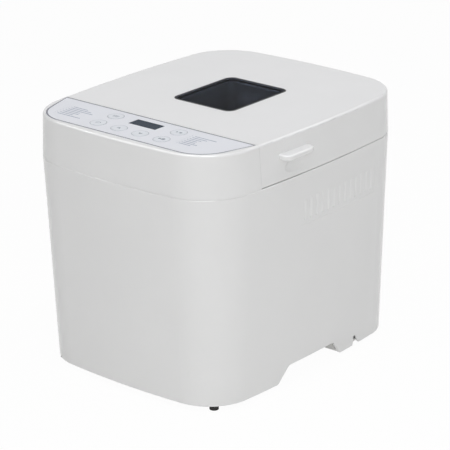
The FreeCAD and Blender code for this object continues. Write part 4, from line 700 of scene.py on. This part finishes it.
def key_marks(name, x, y):
    """The flat outlines of one key's sign about the key's middle."""
    if name == "menu_key":
        return [bar_points(x, y + step * MENU_PITCH, *MENU_BAR) for step in (-1, 0, 1)]
    if name == "time_up_key":
        return [arrow(x, y, 1)]
    if name == "time_down_key":
        return [arrow(x, y, -1)]
    if name == "start_stop_key":
        start = ARROW_SHAPE * START_SIZE @ QUARTER_TURN + np.array([x - START_STEP, y])
        return [start, bar_points(x + START_STEP, y, STOP_SIZE, STOP_SIZE)]
    if name == "loaf_size_key":
        small = loaf_outline(x + SMALL_LOAF_X, y, SMALL_LOAF)
        return [small, loaf_outline(x + LOAF_X, y + LOAF_Y, LOAF_SIZE)]
    outer = arc_points((x, y + CRUST_Y), CRUST_RADII[0], *CRUST_ENDS, SIGN_STEPS)
    inner = arc_points((x, y + CRUST_Y), CRUST_RADII[1], *CRUST_ENDS, SIGN_STEPS)
    return [np.concatenate([outer, inner[::-1]]), bar_points(x, y + CRUST_BAR_Y, *CRUST_BAR)]


for name in KEYS:
    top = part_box(name)[1].z
    points, faces = plates_of_ink(key_marks(name, *key_centres[name]), top - INK, top + INK)
    put_mesh(f"{name}_sign", points, faces, name, sign_ink)
    print(name, "sign points:", len(points))

# %% [markdown]
# ## Programme lists
# On each side of the keys stands a short list, with a numeral and a bar in each row.
# A numeral could stay a text object, but only a mesh can be exported.
# So the text is made a mesh first, and then its points are moved to their place.

# %% Lists of numerals and bars
NUMERAL_HEIGHT = 1.9 * MM
NUMERAL_Y = -1.0 * MM  # from the middle of a row to the foot of its numeral
FONT_SHARE = 1.4  # the size of a font is about this many times the height of its numerals
FONT_STEPS = 3
BAR_STEP = 4.2 * MM
BAR_HEIGHT = 1.3 * MM
ROW_PITCH = 4.2 * MM
# Screen-printed ink, slightly blue.
list_ink = grained_finish(
    "blue_grey_list_ink", ("#959FB0", "#97A1B2"),
    patch=4, rough=(0.47, 0.53), grain=0.3, depth=0.001, IOR=1.5,
)


def numeral(text, x, y):
    """The points and faces of a numeral that lies flat with its lower left corner at x, y."""
    curve = bpy.data.curves.new("numeral", "FONT")
    curve.body = text
    curve.size = NUMERAL_HEIGHT * FONT_SHARE
    curve.resolution_u = FONT_STEPS
    holder = bpy.data.objects.new("numeral", curve)
    scene.collection.objects.link(holder)
    bpy.context.view_layer.update()
    shown = holder.evaluated_get(bpy.context.evaluated_depsgraph_get())
    mesh = bpy.data.meshes.new_from_object(shown)
    points = np.empty(len(mesh.vertices) * 3)
    mesh.vertices.foreach_get("co", points)
    faces = [tuple(face.vertices) for face in mesh.polygons]
    bpy.data.objects.remove(holder)
    bpy.data.curves.remove(curve)
    bpy.data.meshes.remove(mesh)
    return points.reshape(-1, 3) + np.array([x, y, FILM_TOP + INK]), faces


def programme_list(name, left, back, lengths, first):
    """Rows from the back to the front, at an even pitch: each has a numeral and a bar of a given length."""
    levels = back - np.arange(len(lengths)) * ROW_PITCH
    numerals = [numeral(str(first + row), left, y + NUMERAL_Y) for row, y in enumerate(levels)]
    bars = [
        bar_points(left + BAR_STEP + length / 2, y, length, BAR_HEIGHT)
        for length, y in zip(lengths, levels)
    ]
    points, faces = join_parts([*numerals, plates_of_ink(bars, FILM_TOP - INK, FILM_TOP + INK)])
    put_mesh(name, points, faces, "housing", list_ink)
    print(name, "rows:", len(lengths), "points:", len(points))


programme_list(
    "programme_list_left", left=MIDDLE_X - 103.5 * MM, back=-116 * MM,
    lengths=np.array([20, 28, 34, 20, 22, 18, 32]) * MM, first=1,
)
programme_list(
    "programme_list_right", left=MIDDLE_X + 60 * MM, back=-112 * MM,
    lengths=np.array([28, 19, 15, 13, 14, 20, 15]) * MM, first=8,
)

# %% [markdown]
# ## The display's resting segments
# A liquid crystal that is switched off still shows the ghost of its segments, hardly darker than the ground.
# A font could give the digits, but a real display has seven bars for each, so bars are what is drawn.
# Two dots stand between hours and minutes.

# %% Ghost segments
lens_low, lens_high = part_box("lcd_lens")
LENS_X = (lens_low.x + lens_high.x) / 2
LENS_Y = (lens_low.y + lens_high.y) / 2
DIGIT_STEPS = np.array([-11.4, -4.4, 4.4, 11.4]) * MM
DIGIT_WIDTH = 4.2 * MM
DIGIT_HEIGHT = 8.6 * MM
STROKE = 0.8 * MM
STROKE_GAP = 1.4 * STROKE
DOT_SIZE = 0.9 * MM
DOT_STEP = 2.2 * MM
# A shade darker than the lens, and about as smooth.
ghost_ink = grained_finish(
    "resting_segment", ("#273341", "#293543"),
    patch=4, rough=(0.18, 0.22), grain=0.4, depth=0.0005, IOR=1.10,
)


def digit(x, y):
    """Seven bars of a digit about its centre: three across and four upright, each short of the corners."""
    width = DIGIT_WIDTH - STROKE_GAP
    height = DIGIT_HEIGHT / 2 - STROKE_GAP
    across = [bar_points(x, y + step * DIGIT_HEIGHT / 2, width, STROKE) for step in (-1, 0, 1)]
    upright = [
        bar_points(x + side * DIGIT_WIDTH / 2, y + end * DIGIT_HEIGHT / 4, STROKE, height)
        for side in (-1, 1) for end in (-1, 1)
    ]
    return across + upright


segments = [bar for step in DIGIT_STEPS for bar in digit(LENS_X + step, LENS_Y)]
segments += [bar_points(LENS_X, LENS_Y + step * DOT_STEP, DOT_SIZE, DOT_SIZE) for step in (-1, 1)]
points, faces = plates_of_ink(segments, lens_high.z - INK, lens_high.z + INK / 2)
put_mesh("display_segments", points, faces, "housing", ghost_ink)
print("segments and dots:", len(segments))

# %% [markdown]
# ## Small screws
# Screws hold the deck round the oven, the liner under the lid and the base.
# A pan-head screw has a flat crown and a rim that is rounded by a quarter circle.
# It could be a cylinder with a Bevel modifier, but a profile turned about its axis gives it in one array.
# Its cross recess is drawn as two dark bars on the crown: painted shade, standing in for the hollow.

# %% Screw heads
HEAD_RADIUS = 3.2 * MM
HEAD_HEIGHT = 1.3 * MM
HEAD_EDGE = 0.8 * MM
HEAD_SIDES = 32
RIM_STEPS = 6
RECESS_LENGTH = 3.4 * MM
RECESS_WIDTH = 0.7 * MM
UP, DOWN = 1, -1
# Painted shade for the hollow of the recess: dark and dull.
painted_recess_shade = grained_finish(
    "screw_recess_painted_shade", ("#28292B", "#2C2D2F"), patch=2, rough=(0.55, 0.65), grain=0.3, depth=0.004,
)


def screw_head():
    """One head that looks up, as a profile turned about the Z axis.

    With R the head's radius, H its height and E the radius of its rim, the rim at angle t has the radius
    R - E + E cos t and the height H - E + E sin t.
    """
    turn = np.linspace(0, 2 * np.pi, HEAD_SIDES, endpoint=False)
    rim = np.radians(np.linspace(0, 90, RIM_STEPS))
    radius = np.concatenate([[HEAD_RADIUS], HEAD_RADIUS - HEAD_EDGE + HEAD_EDGE * np.cos(rim)])
    height = np.concatenate([[0.0], HEAD_HEIGHT - HEAD_EDGE + HEAD_EDGE * np.sin(rim)])
    across = np.outer(radius, np.cos(turn))
    along = np.outer(radius, np.sin(turn))
    points = np.stack([across, along, np.broadcast_to(height[:, None], across.shape)], axis=-1)
    i, j = np.meshgrid(np.arange(len(radius) - 1), np.arange(HEAD_SIDES), indexing="ij")
    row = i * HEAD_SIDES
    next_row = row + HEAD_SIDES
    next_j = (j + 1) % HEAD_SIDES
    sides = np.stack([row + j, row + next_j, next_row + next_j, next_row + j], axis=-1).reshape(-1, 4)
    foot = np.arange(HEAD_SIDES)[::-1]
    crown = np.arange(HEAD_SIDES) + (len(radius) - 1) * HEAD_SIDES
    return points.reshape(-1, 3), [*sides, crown, foot]


def screws(name, places, level, way, body):
    """Heads on a flat face at one level, which looks UP or DOWN."""
    head, head_faces = screw_head()
    turned = head * np.array([1, way, way])
    heads = [(turned + np.array([x, y, level]), head_faces) for x, y in places]
    put_mesh(name, *join_parts(heads), body, zinc_steel)
    cross = ((RECESS_LENGTH, RECESS_WIDTH), (RECESS_WIDTH, RECESS_LENGTH))
    bars = [bar_points(x, y, *size) for x, y in places for size in cross]
    crown = level + way * HEAD_HEIGHT
    # The cross recesses as painted shade: dark bars on each crown.
    put_mesh(f"{name}_recess_shading", *plates_of_ink(bars, crown - INK, crown + INK), body, painted_recess_shade)
    print(name, [(round(x / MM), round(y / MM)) for x, y in places])


def four_places(half_x, front, back):
    """Two places at the front and two at the back, even about the middle."""
    return [(MIDDLE_X + side * half_x, y) for y in (front, back) for side in (-1, 1)]


OVEN_LOW, OVEN_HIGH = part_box("oven_chamber")
OVEN_Y = (OVEN_LOW.y + OVEN_HIGH.y) / 2
screws(
    "deck_screws", four_places(half_x=104 * MM, front=OVEN_Y - 92 * MM, back=OVEN_Y + 104 * MM),
    level=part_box("top_deck")[1].z, way=UP, body="housing",
)
screws(
    "liner_screws", four_places(half_x=96 * MM, front=OVEN_Y - 100 * MM, back=OVEN_Y + 114 * MM),
    level=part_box("lid_liner")[0].z, way=DOWN, body="lid",
)
screws(
    "base_screws", four_places(half_x=60 * MM, front=-140 * MM, back=150 * MM),
    level=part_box("base_plate")[0].z, way=DOWN, body="housing",
)

# %% [markdown]
# ## Floor and world
# The machine stands on a pale floor in a white room.
# Strong light would make a floor white but wash the machine out.
# So rays from the camera, from gloss and through glass find plain white there, while other rays find a plain
# pale floor and a soft sky, and the floor keeps the machine's shadow.

# %% Floor and world
FLOOR_HALF = 12.0
FLOOR_WHITE = 0.965  # the share of plain white on the floor, which leaves the rest to the shadow
WORLD_WHITE = 1.0
WORLD_LIGHT = 0.30


def white_when_seen(tree, lit, most):
    """Mixes a lit shader with plain white, up to a share, for rays from the camera, gloss and glass."""
    path = add_node(tree, "ShaderNodeLightPath")
    gloss = add_node(
        tree, "ShaderNodeMath", {"operation": "MAXIMUM"},
        {0: path.outputs["Is Camera Ray"], 1: path.outputs["Is Glossy Ray"]},
    )
    seen = add_node(
        tree, "ShaderNodeMath", {"operation": "MAXIMUM"},
        {0: gloss.outputs["Value"], 1: path.outputs["Is Transmission Ray"]},
    )
    share = add_node(
        tree, "ShaderNodeMath", {"operation": "MULTIPLY"}, {0: seen.outputs["Value"], 1: most},
    )
    white = add_node(tree, "ShaderNodeEmission", inputs={"Color": (1, 1, 1, 1), "Strength": 1.0})
    mixed = add_node(
        tree, "ShaderNodeMixShader",
        inputs={0: share.outputs["Value"], 1: lit, 2: white.outputs["Emission"]},
    )
    return mixed.outputs["Shader"]


# Pale and matt: the cards hung for the machine's edges leave no shine on it.
floor_white = new_finish(
    "pale_studio_floor", Base_Color=linear("#F0F0EE"), Roughness=0.8, Specular_IOR_Level=0.0,
)
tree = floor_white.node_tree
seen = white_when_seen(tree, tree.nodes[SHADER].outputs["BSDF"], FLOOR_WHITE)
tree.links.new(seen, tree.nodes["Material Output"].inputs["Surface"])
floor_mesh = bpy.data.meshes.new("floor")
corners = [(x * FLOOR_HALF, y * FLOOR_HALF, 0) for x, y in ((-1, -1), (1, -1), (1, 1), (-1, 1))]
floor_mesh.from_pydata(corners, [], [(0, 1, 2, 3)])
floor_mesh.materials.append(floor_white)
floor = bpy.data.objects.new("floor", floor_mesh)
scene.collection.objects.link(floor)

scene.world = bpy.data.worlds.new("studio")
scene.world.use_nodes = True
tree = scene.world.node_tree
ambient = tree.nodes["Background"]
ambient.inputs["Color"].default_value = (1.0, 1.0, 1.0, 1.0)
ambient.inputs["Strength"].default_value = WORLD_LIGHT
seen = white_when_seen(tree, ambient.outputs["Background"], WORLD_WHITE)
tree.links.new(seen, tree.nodes["World Output"].inputs["Surface"])
print("floor in metres:", 2 * FLOOR_HALF, "light of the world:", WORLD_LIGHT)

# %% [markdown]
# ## Light
# Soft boxes stand above, beside the camera, in front and at the right back.
# A sun would give hard shadows, while a wide area lamp gives the soft ones of a studio.
# The box beside the camera shows in no gloss, or the lid would glare when it is seen from behind.
# A long bright card hangs above the front, because the round front edge mirrors it as a crisp line.
# A smaller card behind does the same for the edge on the right.
# Both show in gloss alone, so that they draw the lines without adding light to the walls.

# %% Soft boxes
MIDDLE = (0.0, 0.0, 0.15)
FRONT_EDGE = (-0.4, 0.0, 0.29)
RIGHT_EDGE = (0.14, 0.0, 0.28)
PALE_BLUE = (0.965, 0.97, 1.0)


def soft_box(name, place, target, size, power):
    """An area lamp that faces a target point, with its size in metres and its power in watts."""
    lamp = bpy.data.lights.new(name, "AREA")
    lamp.shape = "RECTANGLE"
    lamp.size, lamp.size_y = size
    lamp.energy = power
    holder = bpy.data.objects.new(name, lamp)
    holder.location = place
    holder.rotation_euler = (Vector(target) - Vector(place)).to_track_quat("-Z", "Y").to_euler()
    scene.collection.objects.link(holder)
    return holder


overhead = soft_box("overhead", (0.2, 0.0, 2.2), MIDDLE, size=(1.8, 1.8), power=16.5)
overhead.data.color = PALE_BLUE
camera_side = soft_box("camera_side", (1.58, -1.62, 1.1), MIDDLE, size=(1.2, 1.2), power=18.2)
camera_side.visible_glossy = False
soft_box("front_fill", (-0.5, -1.6, 1.5), MIDDLE, size=(1.4, 1.0), power=3)
soft_box("right_back", (1.0, 1.7, 1.5), MIDDLE, size=(1.0, 0.8), power=3)
edge_card = soft_box("edge_card", (-0.4, -0.8, 2.1), FRONT_EDGE, size=(4.0, 0.4), power=80)
edge_card.visible_diffuse = False
rim_card = soft_box("rim_card", (0.5, 1.45, 1.6), RIGHT_EDGE, size=(1.0, 0.4), power=6)
rim_card.visible_diffuse = False
print("lamps:", [lamp.name for lamp in bpy.data.lights])

# %% [markdown]
# ## Camera
# The camera stands far off with a long lens, as it does for a catalogue, a little above the lid.
# Its place and turn come from matching the housing's edges: azimuth, elevation and a slight roll.
# A Track To constraint could aim it, but it has no roll, so the three axes of the camera are worked out.

# %% Camera
AZIMUTH = math.radians(39.82)
ELEVATION = math.radians(20.68)
ROLL = math.radians(-0.41)
CAMERA_PLACE = (1.4221, -1.7012, 0.9759)
LENS = 175.29
SENSOR = 36.0
FAR_LIMIT = 60.0
level = math.cos(ELEVATION)
back = Vector((math.sin(AZIMUTH) * level, -math.cos(AZIMUTH) * level, math.sin(ELEVATION)))
right = Vector((math.cos(AZIMUTH), math.sin(AZIMUTH), 0.0))
up = back.cross(right)
side = right * math.cos(ROLL) + up * math.sin(ROLL)
top = up * math.cos(ROLL) - right * math.sin(ROLL)
view = bpy.data.cameras.new("catalogue_camera")
view.lens = LENS
view.sensor_width = SENSOR
view.clip_end = FAR_LIMIT
camera = bpy.data.objects.new("catalogue_camera", view)
turn = Matrix((side, top, back)).transposed().to_4x4()
camera.matrix_world = Matrix.Translation(CAMERA_PLACE) @ turn
scene.collection.objects.link(camera)
scene.camera = camera
scene.view_settings.view_transform = "Standard"
print("camera's distance in metres:", round(Vector(CAMERA_PLACE).length, 2))
